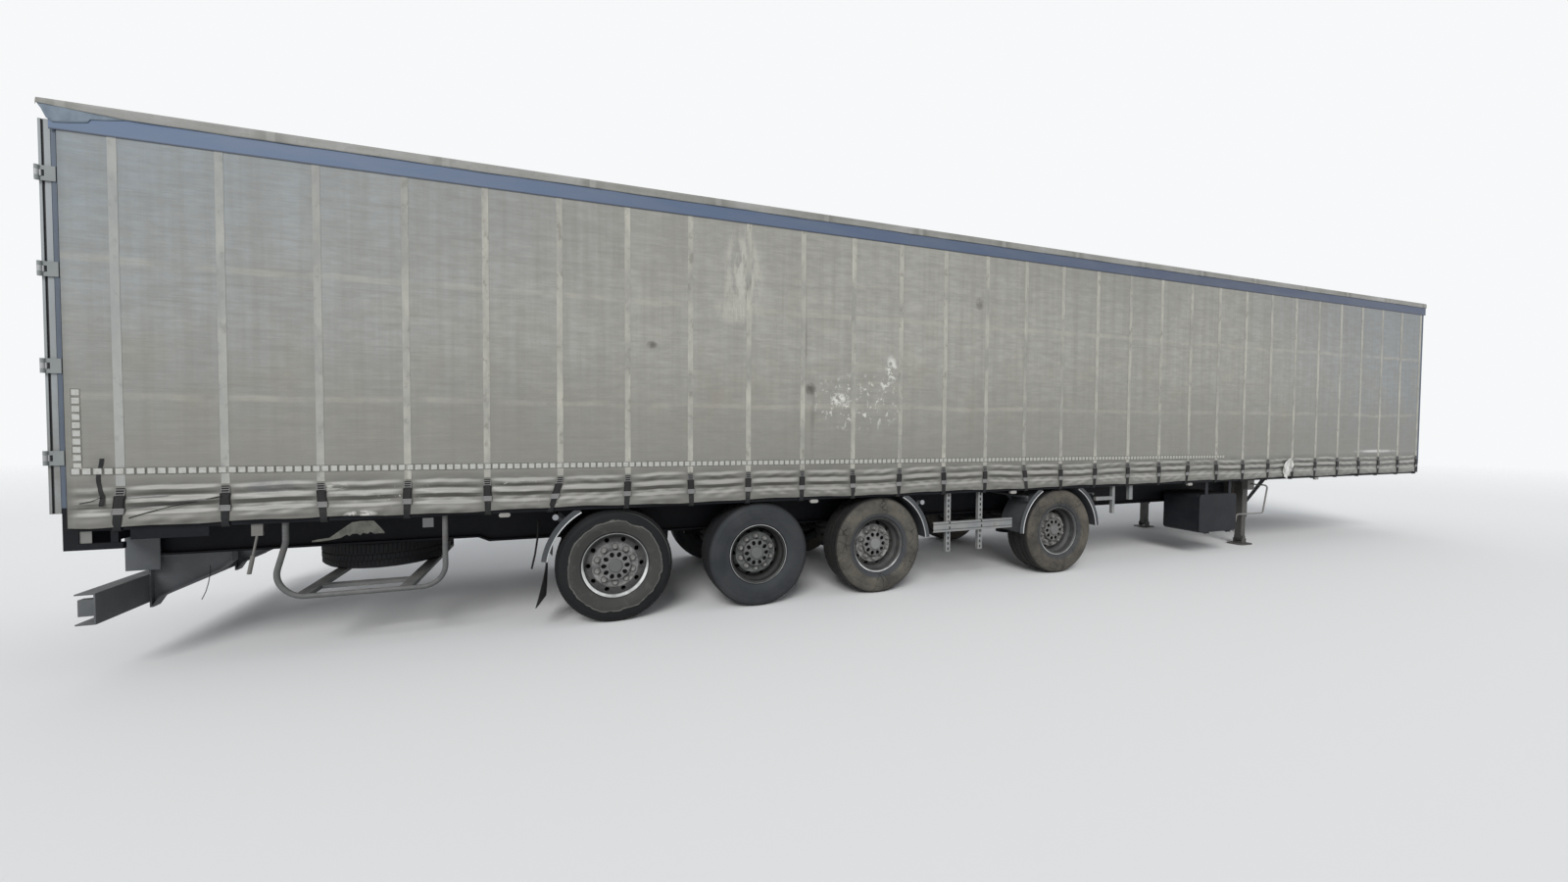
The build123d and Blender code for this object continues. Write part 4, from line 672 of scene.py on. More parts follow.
def addTube(form, points, radius, sides=8):
    # a round bar along a straight or bent line
    points = [Vector(point) for point in points]
    turns = [math.tau * n / sides for n in range(sides)]
    rings = []
    aside = None
    for k, point in enumerate(points):
        along = (points[min(k + 1, len(points) - 1)] - points[max(k - 1, 0)]).normalized()
        aside = along.orthogonal() if aside is None else aside - along * aside.dot(along)
        aside.normalize()
        other = along.cross(aside)
        ring = [point + radius * (math.cos(turn) * aside + math.sin(turn) * other) for turn in turns]
        rings.append([form.verts.new(place) for place in ring])
    bridgeRings(form, rings)


def formObject(name, form, material=None, bevel=0.0, segments=2, smooth=False):
    bmesh.ops.recalc_face_normals(form, faces=form.faces)
    if bevel:
        edges = [edge for edge in form.edges if edge.is_manifold and edge.calc_face_angle(0.0) > 0.6]
        shape = {"offset": bevel, "segments": segments, "profile": 0.6, "clamp_overlap": True}
        bmesh.ops.bevel(form, geom=edges, affect="EDGES", **shape)
    mesh = bpy.data.meshes.new(name)
    form.to_mesh(mesh)
    form.free()
    if smooth:
        mesh.polygons.foreach_set("use_smooth", [True] * len(mesh.polygons))
        mesh.set_sharp_from_angle(angle=math.radians(38))
    if material:
        mesh.materials.append(material)
    obj = bpy.data.objects.new(name, mesh)
    bpy.context.collection.objects.link(obj)
    return obj


def dropPattern(*pieces):
    for piece in pieces:
        mesh = piece.data
        bpy.data.objects.remove(piece)
        bpy.data.meshes.remove(mesh)


# Webbing sewn on the cloth above each buckle, and the reflective squares
webbing = {"width": 0.05, "thick": 0.0016, "low": 1.375, "high": 3.8, "rows": 60, "lift": 0.0002}
tape = {
    "size": 0.041, "thick": 0.0012, "lift": 0.001, "rim": 0.0055, "rimThick": 0.0006, "rimLift": 0.0004,
    "pitch": 0.0565, "rowZ": 1.482, "rowFall": -0.00029, "rowStart": -8.46, "rowCount": 212,
    "columnX": -8.45, "columnZ": 1.52, "columnCount": 10,
}


def webbingFinish():
    made = Finish("webbingCloth", 0.65)
    faded = made.flecks(5.0, 0.35, 0.62, (1.0, 1.0, 0.5), 8.0)
    made.base = made.blend(faded, (0.42, 0.405, 0.35), (0.27, 0.265, 0.24))
    made.cover(made.flecks(18.0, 0.55, 0.66, (1.0, 1.0, 0.6), 6.0), (0.2, 0.19, 0.16), 0.7)
    # painted bluish haze of sky light towards the rear, as on the cloth
    made.cover(made.level(made.x, -6.0, -8.4, 0.0, 0.6), (0.29, 0.31, 0.31))
    made.paint(made.base)
    ribs = made.add("ShaderNodeTexWave", {"Vector": made.spot, "Scale": 160.0}, bands_direction="Z")
    made.bump(ribs.outputs["Fac"], 0.0004, 0.4)
    return made.material


def squareFinish():
    made = Finish("reflectiveSquares", 0.35)
    worn = made.level(made.noise(30.0, 6.0, None, 0.7), 0.45, 0.7)
    made.base = made.blend(worn, (0.46, 0.465, 0.44), (0.31, 0.305, 0.275))
    made.cover(made.level(made.x, -6.0, 3.0, 0.15, 0.75), (0.34, 0.33, 0.29))
    made.paint(made.base)
    cells = made.add("ShaderNodeTexVoronoi", {"Vector": made.spot, "Scale": 260.0}).outputs["Distance"]
    made.bump(cells, 0.0003, 0.4)
    return made.material


def squareRimFinish():
    made = Finish("squareRims", 0.6)
    worn = made.level(made.noise(22.0, 5.0), 0.4, 0.7)
    made.paint(made.blend(worn, (0.1, 0.097, 0.085), (0.2, 0.19, 0.165)))
    return made.material


def stripPattern(name, settings):
    half, thick, rows = settings["width"] / 2, settings["thick"], settings["rows"]
    low, high = settings["low"], settings["high"]
    corners = ((-half, 0), (-half, -thick), (half, -thick), (half, 0))
    levels = [low + (high - low) * k / rows for k in range(rows + 1)]
    form = bmesh.new()
    bridgeRings(form, [[form.verts.new((x, y, z)) for x, y in corners] for z in levels])
    return formObject(name, form)


def squarePattern(name, half, thick):
    form = bmesh.new()
    addBox(form, (-half, -thick, -half), (half, 0.0, half))
    return formObject(name, form)


def makeRow(name, pattern, side, count, start, step, material):
    turn = 0.0 if side < 0 else math.pi
    values = {
        "Piece": pattern, "Count": count, "Start": start, "Step": step, "Turn": turn, "Finish": material,
    }
    return applyTree(emptyPiece(name), trees["row"], values)


def layOn(obj, side, lift):
    return bake(applyTree(obj, trees["lay"], {"Cloth": curtains[side], "Side": float(side), "Lift": lift}))


strapStart = (curtain["strapFirst"], 0.0, 0.0)
strapStep = (curtain["strapPitch"], 0.0, 0.0)
webCloth = webbingFinish()
strip = stripPattern("stripPattern", webbing)
tapeHalf = tape["size"] / 2
squareRim = squarePattern("rimPattern", tapeHalf + tape["rim"], tape["rimThick"])
square = squarePattern("squarePattern", tapeHalf, tape["thick"])
layers = [(squareRim, tape["rimLift"], squareRimFinish()), (square, tape["lift"], squareFinish())]
rowStart, rowStep = (tape["rowStart"], 0.0, tape["rowZ"]), (tape["pitch"], 0.0, tape["rowFall"])
columnStart, columnStep = (tape["columnX"], 0.0, tape["columnZ"]), (0.0, 0.0, tape["pitch"])
for side, label in bothSides:
    title = label.capitalize()
    strips = makeRow("webbing" + title, strip, side, curtain["strapCount"], strapStart, strapStep, webCloth)
    layOn(strips, side, webbing["lift"])
    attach(strips, "chassis")
    pieces = []
    for pattern, lift, material in layers:
        row = makeRow("row", pattern, side, tape["rowCount"], rowStart, rowStep, material)
        column = makeRow("column", pattern, side, tape["columnCount"], columnStart, columnStep, material)
        pieces.append(layOn(row, side, lift + webbing["thick"]))
        pieces.append(layOn(column, side, lift))
    squares = joinPieces("reflectiveSquares" + title, pieces)
    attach(squares, "chassis")
dropPattern(strip, square, squareRim)
print("webbing and reflective squares laid")

# Buckles: strap, over-centre buckle and bright loop, thirty a side
buckle = {
    "strapWidth": 0.046, "strapHalf": 0.0014, "bodyWidth": 0.058, "bodyZ": (1.215, 1.3), "cheek": 0.004,
    "loopZ": 1.195, "loopY": -1.2712, "wire": 0.0042, "hookY": -1.2692, "hookZ": (1.348, 1.33, 1.312),
    "strapPath": [
        (-1.2672, 1.36), (-1.2672, 1.31), (-1.27, 1.25), (-1.2705, 1.19), (-1.2672, 1.12),
        (-1.263, 1.085), (-1.2555, 1.0605), (-1.249, 1.0575), (-1.228, 1.0585),
    ],
}


def strapPattern(settings):
    half, path = settings["strapWidth"] / 2, settings["strapPath"]
    corners = ((-half, 1), (half, 1), (half, -1), (-half, -1))
    form = bmesh.new()
    rings = []
    for k, (y, z) in enumerate(path):
        before, after = path[max(k - 1, 0)], path[min(k + 1, len(path) - 1)]
        along = Vector((after[0] - before[0], after[1] - before[1])).normalized()
        out = Vector((along.y, -along.x)) * settings["strapHalf"]
        rings.append([form.verts.new((x, y + sign * out.x, z + sign * out.y)) for x, sign in corners])
    bridgeRings(form, rings)
    addBox(form, (-half - 0.004, -1.2525, 1.0535), (half + 0.004, -1.2225, 1.0575))
    return formObject("strapPattern", form, None, 0.0008, 1)


def addBar(form, half, y, z, radius):
    addTube(form, [(-half, y, z), (half, y, z)], radius)


def bucklePattern(settings):
    # two cheeks, a cover plate in two steps and the pins at both ends
    low, high = settings["bodyZ"]
    half, cheek = settings["bodyWidth"] / 2, settings["cheek"]
    inside = half - cheek - 0.001
    form = bmesh.new()
    for x in (-half, half - cheek):
        addBox(form, (x, -1.2745, low), (x + cheek, -1.2636, high + 0.006))
    addBox(form, (-inside, -1.2742, low + 0.004), (inside, -1.2712, high - 0.012))
    addBox(form, (-inside, -1.2728, high - 0.015), (inside, -1.2698, high + 0.004))
    addBar(form, half + 0.003, -1.2685, high - 0.006, settings["wire"])
    addBar(form, half + 0.003, -1.2695, low + 0.01, 0.0038)
    return formObject("bucklePattern", form, None, 0.0012, 1)


def loopPattern(settings):
    # the bright loop under the buckle and the end fitting of the webbing above it
    z, y, wire = settings["loopZ"], settings["loopY"], settings["wire"]
    half = settings["bodyWidth"] / 2 + 0.002
    form = bmesh.new()
    for height in (z - 0.018, z + 0.018):
        addBar(form, half, y, height, wire)
    for x in (-half, half):
        addTube(form, [(x, y, z - 0.02), (x, y, z + 0.02)], wire)
    addBox(form, (-half + 0.004, -1.2722, z - 0.016), (half - 0.004, -1.2704, z + 0.014))
    for height in settings["hookZ"]:
        addBar(form, half - 0.006, settings["hookY"], height, 0.003)
    for x in (-half + 0.004, half - 0.009):
        addBox(form, (x, -1.27, 1.305), (x + 0.005, -1.2672, 1.352))
    return formObject("loopPattern", form)


strapFinish = dustyPaint("strapWebbing", (0.016, 0.017, 0.019), roadDust, 0.25, 0.8, specular=0.2)
loopFinish = dustyPaint("loopSteel", (0.22, 0.22, 0.215), roadDust, 0.3, 0.5, 0.05, 0.2)


def slantStraps(mesh, side):
    # some straps hang askew: their lower part is drawn along the hem
    count = len(mesh.vertices)
    places = np.empty(count * 3)
    mesh.vertices.foreach_get("co", places)
    places = places.reshape(count, 3)
    along = places[:, 0] if side < 0 else curtain["strapFirst"] + strapLast - places[:, 0]
    number = np.round((along - curtain["strapFirst"]) / curtain["strapPitch"]).astype(int)
    for index in range(curtain["strapCount"]):
        chosen = number == index
        lean = slants.get(index, 0.0) * (1.0 if side < 0 else -1.0)
        if index not in slants:
            lean = curtain["smallSlant"] * math.sin(index * 2.4)
        places[chosen, 0] -= slantDrop(places[chosen, 2]) * lean
    mesh.vertices.foreach_set("co", places.ravel())
    mesh.update()


patterns = [
    (strapPattern(buckle), strapFinish, "hemStraps"),
    (bucklePattern(buckle), finishes["buckle_steel"], "buckleBodies"),
    (loopPattern(buckle), loopFinish, "buckleLoops"),
]
for pattern, material, name in patterns:
    halves = []
    for side in (-1, 1):
        half = bake(makeRow("half", pattern, side, curtain["strapCount"], strapStart, strapStep, material))
        slantStraps(half.data, side)
        halves.append(half)
    made = joinPieces(name, halves)
    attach(made, "chassis")
    if name == "buckleBodies":
        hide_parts("buckles")
    dropPattern(pattern)
print("buckles fastened")

# Roof tarpaulin: one sheet over the bows with a rippled valance at each side
roof = {
    "rear": -8.598, "front": 8.6325, "half": 1.273, "top": 4.0, "drop": 0.076, "endDrop": 0.026,
    "columns": 360, "thick": 0.0025, "bowFirst": -7.3425, "bowPitch": 1.1380,
    "corner": 0.014, "sag": 0.007, "short": 0.036, "shortFrom": -8.16, "shortOver": 0.42,
    "bowLines": [(0.05, 0.06, 0.55, (0.12, 0.117, 0.1)), (0.018, 0.01, 0.5, (0.37, 0.365, 0.34))],
}


def makeRoof(settings):
    half, top, corner = settings["half"], settings["top"], settings["corner"]
    section = []
    for t in np.linspace(0.0, 1.0, 7):
        section.append((-1, half, top - settings["drop"] + t * (settings["drop"] - corner), 1.0 - t))
    for angle in (20, 45, 70):
        turn = math.radians(angle)
        section.append((-1, half - corner * (1 - math.cos(turn)), top - corner * (1 - math.sin(turn)), 0.0))
    for y in (1.235, 1.18, 1.0, 0.75, 0.5, 0.25):
        section.append((-1, y, top, 0.0))
    section.append((0, 0.0, top, 0.0))
    section += [(1, y, z, w) for _, y, z, w in reversed(section[:-1])]
    places = np.linspace(settings["rear"], settings["front"], settings["columns"] + 1)
    points = []
    for x in places:
        short = settings["short"] * max(0.0, min(1.0, (settings["shortFrom"] - x) / settings["shortOver"]))
        between = math.sin(math.pi * (x - settings["bowFirst"]) / settings["bowPitch"]) ** 2
        for side, y, z, hang in section:
            inner = max(0.0, min(1.0, (1.19 - y) / 0.4))
            sag = -settings["sag"] * between * inner - 0.0012 * (1 + math.sin(x * 7 + y * 5)) * inner
            wave = 0.0014 + 0.0012 * math.sin(x * 9.1 + side) + 0.0008 * math.sin(x * 23 + 2 * side)
            ripple = hang ** 0.7 * wave
            lift = 0.0016 * math.sin(x * 4.3 + side) + 0.0008 * math.sin(x * 15.1)
            edge = hang * short + hang ** 2 * lift
            points.append((x, side * (y + ripple) if side else 0.0, z + sag + edge))
    rows = len(section) - 1
    obj = meshObject("roofSheet", points, gridFaces(len(places) - 1, rows))
    form = bmesh.new()
    form.from_mesh(obj.data)
    for end in (settings["rear"], settings["front"]):
        rim = [v for v in form.verts if abs(v.co.x - end) < 1e-5 and abs(v.co.z - top) < 0.03]
        edges = [e for e in form.edges if e.verts[0] in rim and e.verts[1] in rim]
        grown = bmesh.ops.extrude_edge_only(form, edges=edges)
        for v in (g for g in grown["geom"] if isinstance(g, bmesh.types.BMVert)):
            v.co.z -= settings["endDrop"] - 0.006 + 0.004 * math.sin(v.co.y * 9)
    bmesh.ops.recalc_face_normals(form, faces=form.faces)
    form.to_mesh(obj.data)
    form.free()
    upward = sum(p.normal.z for p in obj.data.polygons)
    if upward < 0:
        obj.data.flip_normals()
    obj.data.polygons.foreach_set("use_smooth", [True] * len(obj.data.polygons))
    solidify(obj, settings["thick"])
    return bake(obj)


def roofFinish():
    # pale cloth with dirt, long streaks, specks and a worn line over each bow
    made = Finish("roofCloth", 0.6)
    dirt = made.level(made.noise(1.4, 8.0, (1.0, 1.0, 1.0), 0.65), 0.35, 0.7)
    made.base = made.blend(dirt, (0.33, 0.33, 0.31), (0.2, 0.197, 0.175))
    made.cover(made.flecks(6.0, 0.4, 0.66, (0.25, 1.0, 3.0), 8.0), (0.17, 0.168, 0.155), 0.5)
    share = made.math("DIVIDE", made.math("SUBTRACT", made.x, roof["bowFirst"]), roof["bowPitch"])
    share = made.math("FRACT", made.math("ADD", share, 0.5))
    for half, soft, strength, tone in roof["bowLines"]:
        made.cover(made.times(made.band(share, 0.5, half, soft), made.flecks(4.0, 0.25, 0.6)), tone, strength)
    made.cover(made.level(made.noise(26.0, 8.0, None, 0.75), 0.52, 0.72, 0.0, 0.5), (0.14, 0.135, 0.11))
    made.paint(made.base)
    made.bump(made.noise(11.0, 6.0, (1.0, 0.6, 1.0)), 0.004, 0.4)
    return made.material


roofSheet = makeRoof(roof)
roofSheet.data.materials.clear()
roofSheet.data.materials.append(roofFinish())
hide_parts("roof_tarpaulin")
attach(roofSheet, "chassis")
print("roof covered")

# Tyres: a turned carcass with ribs of tread blocks round it
tyre = {
    "radius": 0.526, "middle": 1.0565, "half": 0.1925, "bore": 0.2853, "bead": 0.141, "segments": 144,
    "ribs": [(-0.131, 0.043), (-0.0785, 0.046), (0.0, 0.082), (0.0785, 0.046), (0.131, 0.043)],
    "blocks": 96, "gap": 0.0028, "treadDepth": 0.011,
}
wheels = {
    "axles": [-4.8765, -3.4835, -2.1085, 0.4645], "flushDisc": 1.17, "dishedDisc": 1.092,
    "nutRing": 0.1675, "nuts": 10,
}


def tyreFinish(name, x, look):
    # road film, a worn ring and a painted shoulder highlight on the first wheel, dried mud and dark cracks on
    # the last two, and painted shade over every tread
    made = Finish(name, 0.68, 0.0, 0.2)
    across, upwards, radius = made.fromAxle(x)
    edge = made.math("ADD", radius, made.times(made.noise(10.0, 2.5, None, 0.5), 0.06))
    edge = made.math("ADD", edge, made.times(made.noise(3.0, 1.0), 0.03))
    film = made.flecks(3.4, 0.35, 0.7, None, 8.0)
    made.base = made.blend(made.times(film, look["film"]), look["rubber"], look["dust"])
    clean = made.level(radius, 0.365, 0.34, 0.0, look["cleanBead"])
    made.cover(clean, (0.045, 0.05, 0.056))
    if look["ring"]:
        inside = made.level(edge, look["ring"] + 0.004, look["ring"] - 0.004)
        made.cover(inside, (0.052, 0.051, 0.048), 0.85)
        line = made.times(made.band(edge, look["ring"], 0.0032, 0.004), made.flecks(9.0, 0.25, 0.5))
        made.cover(line, (0.13, 0.127, 0.115), 0.9)
        # painted highlight: a light line along the shoulder's upper front
        shoulderHighlight = made.times(made.band(radius, 0.4975, 0.0012, 0.003), made.level(across, 0.05, 0.3))
        shoulderHighlight = made.times(shoulderHighlight, made.level(upwards, -0.05, 0.1))
        made.cover(shoulderHighlight, (0.16, 0.16, 0.15), 0.6)
        patchy = made.times(inside, made.flecks(12.0, 0.52, 0.7, None, 7.0))
        made.cover(patchy, (0.1, 0.097, 0.088), 0.4)
    if look["cracks"]:
        inputs = {"Vector": made.spot, "Scale": 9.0}
        split = made.add("ShaderNodeTexVoronoi", inputs, feature="DISTANCE_TO_EDGE")
        thin = made.level(split.outputs["Distance"], 0.045, 0.012)
        dark = made.times(thin, made.flecks(4.0, 0.45, 0.6))
        made.cover(dark, (0.02, 0.019, 0.018), look["cracks"])
        speck = made.flecks(26.0, 0.56, 0.68, None, 6.0)
        made.cover(speck, (0.045, 0.04, 0.034), 0.5)
    # painted shade: the tread darkened as if in the shadow of the wheel ahead
    tread = made.level(radius, 0.503, 0.514, 0.0, 0.85)
    made.cover(tread, (0.016, 0.016, 0.017))
    made.paint(made.base)
    outward = made.add("ShaderNodeCombineXYZ", {0: radius}).outputs[0]
    rings = made.add("ShaderNodeTexWave", {"Vector": outward, "Scale": 22.0}, bands_direction="X")
    made.bump(rings.outputs["Fac"], 0.0008, 0.35)
    made.bump(made.noise(60.0, 6.0, None, 0.7), 0.0008, 0.35)
    return made.material


def rimFinish(name, x, disc, look):
    # painted steel: dusty disc and a greyer cap; painted shade on the barrel, the disc's outer ring and upper
    # part, in the slots, round nuts and holes and deep inside; a bright worn edge with a painted highlight
    made = Finish(name, 0.5, 0.0, 0.3)
    across, upwards, radius = made.fromAxle(x)
    depth = made.math("ABSOLUTE", made.y)
    made.base = made.blend(made.flecks(9.0, 0.38, 0.66, None, 7.0), look["disc"], look["dust"])
    made.cover(made.flecks(15.0, 0.5, 0.64), (0.03, 0.029, 0.028), 0.55)
    # darker outer ring of the disc: partly dirt, partly painted shade of the recess
    recessShadeAndDirt = made.times(made.level(radius, 0.205, 0.214), made.level(radius, 0.27, 0.262))
    made.cover(recessShadeAndDirt, (0.035, 0.034, 0.033), look["outerShadeAndDirt"])
    # dark barrel: painted shade inside the rim, with dirt
    barrelShadeAndDirt = made.level(radius, look["barrelFrom"], look["barrelFrom"] + 0.008)
    made.cover(barrelShadeAndDirt, look["barrelShadeAndDirt"], 0.88)
    shaded = made.times(made.level(upwards, 0.1, 0.24), made.level(radius, 0.17, 0.23))
    made.cover(shaded, (0.012, 0.012, 0.012), 0.75)
    # the worn bright edge of the rim flange, drawn wider and brighter on one half: partly wear, partly
    # painted highlight
    low = made.level(upwards, look["arcFrom"], look["arcFrom"] - 0.14)
    start = made.level(low, 0.0, 1.0, 1.199, look["edgeDeep"])
    wide = made.level(made.math("SUBTRACT", depth, start), 0.0, 0.006)
    inner = made.level(low, 0.0, 1.0, *look["edgeFrom"])
    edge = made.times(made.level(made.math("SUBTRACT", radius, inner), 0.0, 0.002), wide)
    bright = made.level(low, 0.0, 1.0, *look["edge"])
    worn = made.level(made.noise(7.0, 6.0), 0.3, 0.62, 0.35, 1.0)
    made.cover(made.times(made.times(edge, bright), worn), (0.66, 0.66, 0.65))
    hub = made.level(radius, 0.142, 0.137)
    made.cover(hub, look["hub"], 0.6)
    # painted shade: the walls of the hub slots painted black
    slots = made.times(made.level(depth, disc + 0.043, disc + 0.035), made.level(radius, 0.128, 0.124))
    made.cover(slots, (0.006, 0.006, 0.006))
    share = made.times(made.math("ARCTAN2", upwards, across), wheels["nuts"] / math.tau)
    handRing = 0.24 if disc == wheels["flushDisc"] else 0.23
    # painted shade: dark halos round the nuts, the hub slots and the hand holes
    spots = [
        (0.0, wheels["nutRing"], 0.03, 0.008, 0.6, (0.03, 0.029, 0.028)),
        (0.5, 0.106, 0.0195, 0.003, 1.0, (0.004, 0.004, 0.004)),
        (0.5, handRing, 0.02, 0.004, 0.95, (0.006, 0.006, 0.006)),
    ]
    for phase, ring, half, soft, strength, tone in spots:
        turned = made.math("FRACT", made.math("ADD", share, phase))
        aside = made.times(made.times(made.math("SUBTRACT", turned, 0.5), math.tau / wheels["nuts"]), radius)
        spot = made.level(made.reach(aside, made.math("SUBTRACT", radius, ring)), half + soft, half)
        made.cover(spot, tone, strength)
    cap = made.level(radius, 0.066, 0.062)
    made.cover(cap, look["cap"])
    # darker deeper inside the wheel: painted shade of the dish, and grime
    inner = made.level(depth, disc - 0.07, disc - 0.1)
    made.cover(inner, (0.02, 0.017, 0.014), 0.9)
    made.paint(made.base)
    made.bump(made.noise(45.0, 6.0, None, 0.7), 0.0007, 0.4)
    return made.material


def carcassSection(settings):
    half, bead = settings["half"], settings["bead"]
    side = [
        (settings["bore"], bead), (0.302, bead + 0.001), (0.3065, bead + 0.0165), (0.314, bead + 0.026),
        (0.322, bead + 0.0305), (0.327, bead + 0.0305), (0.333, bead + 0.034), (0.35, bead + 0.041),
        (0.372, bead + 0.0468), (0.376, bead + 0.0486), (0.38, bead + 0.0488), (0.384, bead + 0.0492),
        (0.4, half - 0.0008), (0.42, half), (0.442, half - 0.001), (0.446, half - 0.0026),
        (0.452, half - 0.0030), (0.456, half - 0.0022), (0.472, half - 0.0066), (0.489, half - 0.0118),
        (0.4935, half - 0.0165), (0.508, half - 0.0262), (0.5135, half - 0.038),
    ]
    crown = settings["radius"] - settings["treadDepth"]
    outer = side + [(crown, 0.11), (crown + 0.0005, 0.05), (crown + 0.0005, 0.0)]
    return outer + [(r, -u) for r, u in reversed(outer[:-1])]


def turnSection(name, section, segments):
    form = bmesh.new()
    rings = []
    for k in range(segments):
        angle = math.tau * k / segments
        rings.append([form.verts.new((r * math.cos(angle), u, r * math.sin(angle))) for r, u in section])
    count = len(section)
    for k in range(segments):
        now, then = rings[k], rings[(k + 1) % segments]
        for j in range(count):
            n = (j + 1) % count
            form.faces.new((now[j], now[n], then[n], then[j]))
    return formObject(name, form, None, 0.0, smooth=True)


def blockPattern(width, settings):
    # one tread block: radius along X, the tyre's axis along Z
    reach = settings["radius"]
    half = math.pi * reach / settings["blocks"] - settings["gap"] / 2
    form = bmesh.new()
    addBox(form, (-settings["treadDepth"] - 0.002, -half, -width / 2), (0.0, half, width / 2))
    return formObject("blockPattern", form, None, 0.0012, 1)


def axisTurn(side):
    return Matrix.Rotation(math.radians(90.0 if side < 0 else -90.0), 4, "X")


def ringPiece(pattern, count, radius, phase, material):
    values = {"Piece": pattern, "Count": count, "Radius": radius, "Phase": phase, "Finish": material}
    return bake(applyTree(emptyPiece("ring"), trees["ring"], values))


def makeTread(settings):
    pieces = []
    for number, (place, width) in enumerate(settings["ribs"]):
        pattern = blockPattern(width, settings)
        crown = settings["radius"] - 0.0046 * (abs(place) / 0.131) ** 2
        ring = ringPiece(pattern, settings["blocks"], crown, 0.03 * number, None)
        ring.data.transform(Matrix.Translation((0, 0, place)))
        dropPattern(pattern)
        pieces.append(ring)
    return joinPieces("tread", pieces)


carcass = turnSection("carcass", carcassSection(tyre), tyre["segments"])
tread = makeTread(tyre)
tread.data.transform(axisTurn(-1))
dryMud = (0.15, 0.138, 0.112)
tyreLooks = [
    {
        "rubber": (0.006, 0.007, 0.008), "dust": (0.017, 0.017, 0.0165),
        "film": 0.55, "ring": 0.463, "cracks": 0, "cleanBead": 0.15,
    },
    {
        "rubber": (0.026, 0.029, 0.033), "dust": (0.06, 0.062, 0.062),
        "film": 0.5, "ring": 0, "cracks": 0, "cleanBead": 0.3,
    },
    {
        "rubber": (0.05, 0.047, 0.042), "dust": dryMud,
        "film": 0.9, "ring": 0, "cracks": 0.9, "cleanBead": 0.85,
    },
    {
        "rubber": (0.048, 0.045, 0.04), "dust": (0.14, 0.125, 0.1),
        "film": 0.9, "ring": 0, "cracks": 0.8, "cleanBead": 0.7,
    },
]
rimLooks = [
    {
        "disc": (0.135, 0.135, 0.132), "dust": (0.3, 0.295, 0.285), "outerShadeAndDirt": 0.8, "barrelFrom": 0.262,
        "barrelShadeAndDirt": (0.05, 0.05, 0.05),
        "edge": (0.4, 1.0), "edgeFrom": (0.29, 0.2735), "edgeDeep": 1.175, "arcFrom": 0.07,
        "hub": (0.125, 0.125, 0.122), "cap": (0.112, 0.112, 0.11),
    },
    {
        "disc": (0.08, 0.085, 0.082), "dust": (0.18, 0.185, 0.178), "outerShadeAndDirt": 0.5, "barrelFrom": 0.236,
        "barrelShadeAndDirt": (0.019, 0.02, 0.018),
        "edge": (1.0, 0.25), "edgeFrom": (0.294, 0.292), "edgeDeep": 1.202, "arcFrom": -0.1,
        "hub": (0.1, 0.1, 0.098), "cap": (0.12, 0.122, 0.12),
    },
    {
        "disc": (0.12, 0.118, 0.114), "dust": (0.38, 0.375, 0.36), "outerShadeAndDirt": 0.3, "barrelFrom": 0.246,
        "barrelShadeAndDirt": (0.045, 0.045, 0.044),
        "edge": (0.1, 0.8), "edgeFrom": (0.294, 0.284), "edgeDeep": 1.185, "arcFrom": -0.06,
        "hub": (0.1, 0.1, 0.097), "cap": (0.2, 0.2, 0.195),
    },
    {
        "disc": (0.12, 0.116, 0.11), "dust": (0.3, 0.29, 0.27), "outerShadeAndDirt": 0.3, "barrelFrom": 0.246,
        "barrelShadeAndDirt": (0.055, 0.056, 0.057),
        "edge": (0.3, 0.6), "edgeFrom": (0.294, 0.288), "edgeDeep": 1.19, "arcFrom": -0.04,
        "hub": (0.1, 0.1, 0.097), "cap": (0.14, 0.14, 0.135),
    },
]
wheelPlaces = [(n, x, side, label) for n, x in enumerate(wheels["axles"], 1) for side, label in bothSides]


def tyreCopy(name, rubber):
    parts = []
    for source in (carcass, tread):
        copy = bpy.data.objects.new("copy", source.data.copy())
        bpy.context.collection.objects.link(copy)
        copy.data.materials.clear()
        copy.data.materials.append(rubber)
        parts.append(copy)
    return joinPieces(name, parts)


tyreFinishes = []
for number, (x, look) in enumerate(zip(wheels["axles"], tyreLooks), start=1):
    tyreFinishes.append(tyreFinish(f"tyreRubber{number}", x, look))
for number, x, side, label in wheelPlaces:
    made = tyreCopy(f"tyre{number}{label.capitalize()}", tyreFinishes[number - 1])
    made.data.transform(Matrix.Translation((x, side * tyre["middle"], tyre["radius"])))
    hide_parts(f"tyre_{number}_{label}")
    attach(made, f"wheel_{number}_{label}")
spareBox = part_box("spare_tyre")
spareMiddle = [(a + b) / 2 for a, b in zip(*spareBox)]
spareTyre = tyreCopy("spareTyre", tyreFinishes[1])
spareTyre.data.transform(Matrix.Translation(spareMiddle) @ axisTurn(-1))
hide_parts("spare_tyre")
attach(spareTyre, "chassis")
dropPattern(carcass, tread)
print("tyres turned")

# Wheel nuts with their studs and washers, ten a wheel
nut = {"washer": 0.0245, "flat": 0.0185, "height": 0.026, "stud": 0.0125, "studHeight": 0.04}


def addPrism(form, radius, low, high, sides, top=1.0):
    turns = [math.tau * k / sides for k in range(sides)]
    rings = []
    for z, reach in ((low, radius), (high, radius * top)):
        rings.append([form.verts.new((reach * math.cos(turn), reach * math.sin(turn), z)) for turn in turns])
    bridgeRings(form, rings)


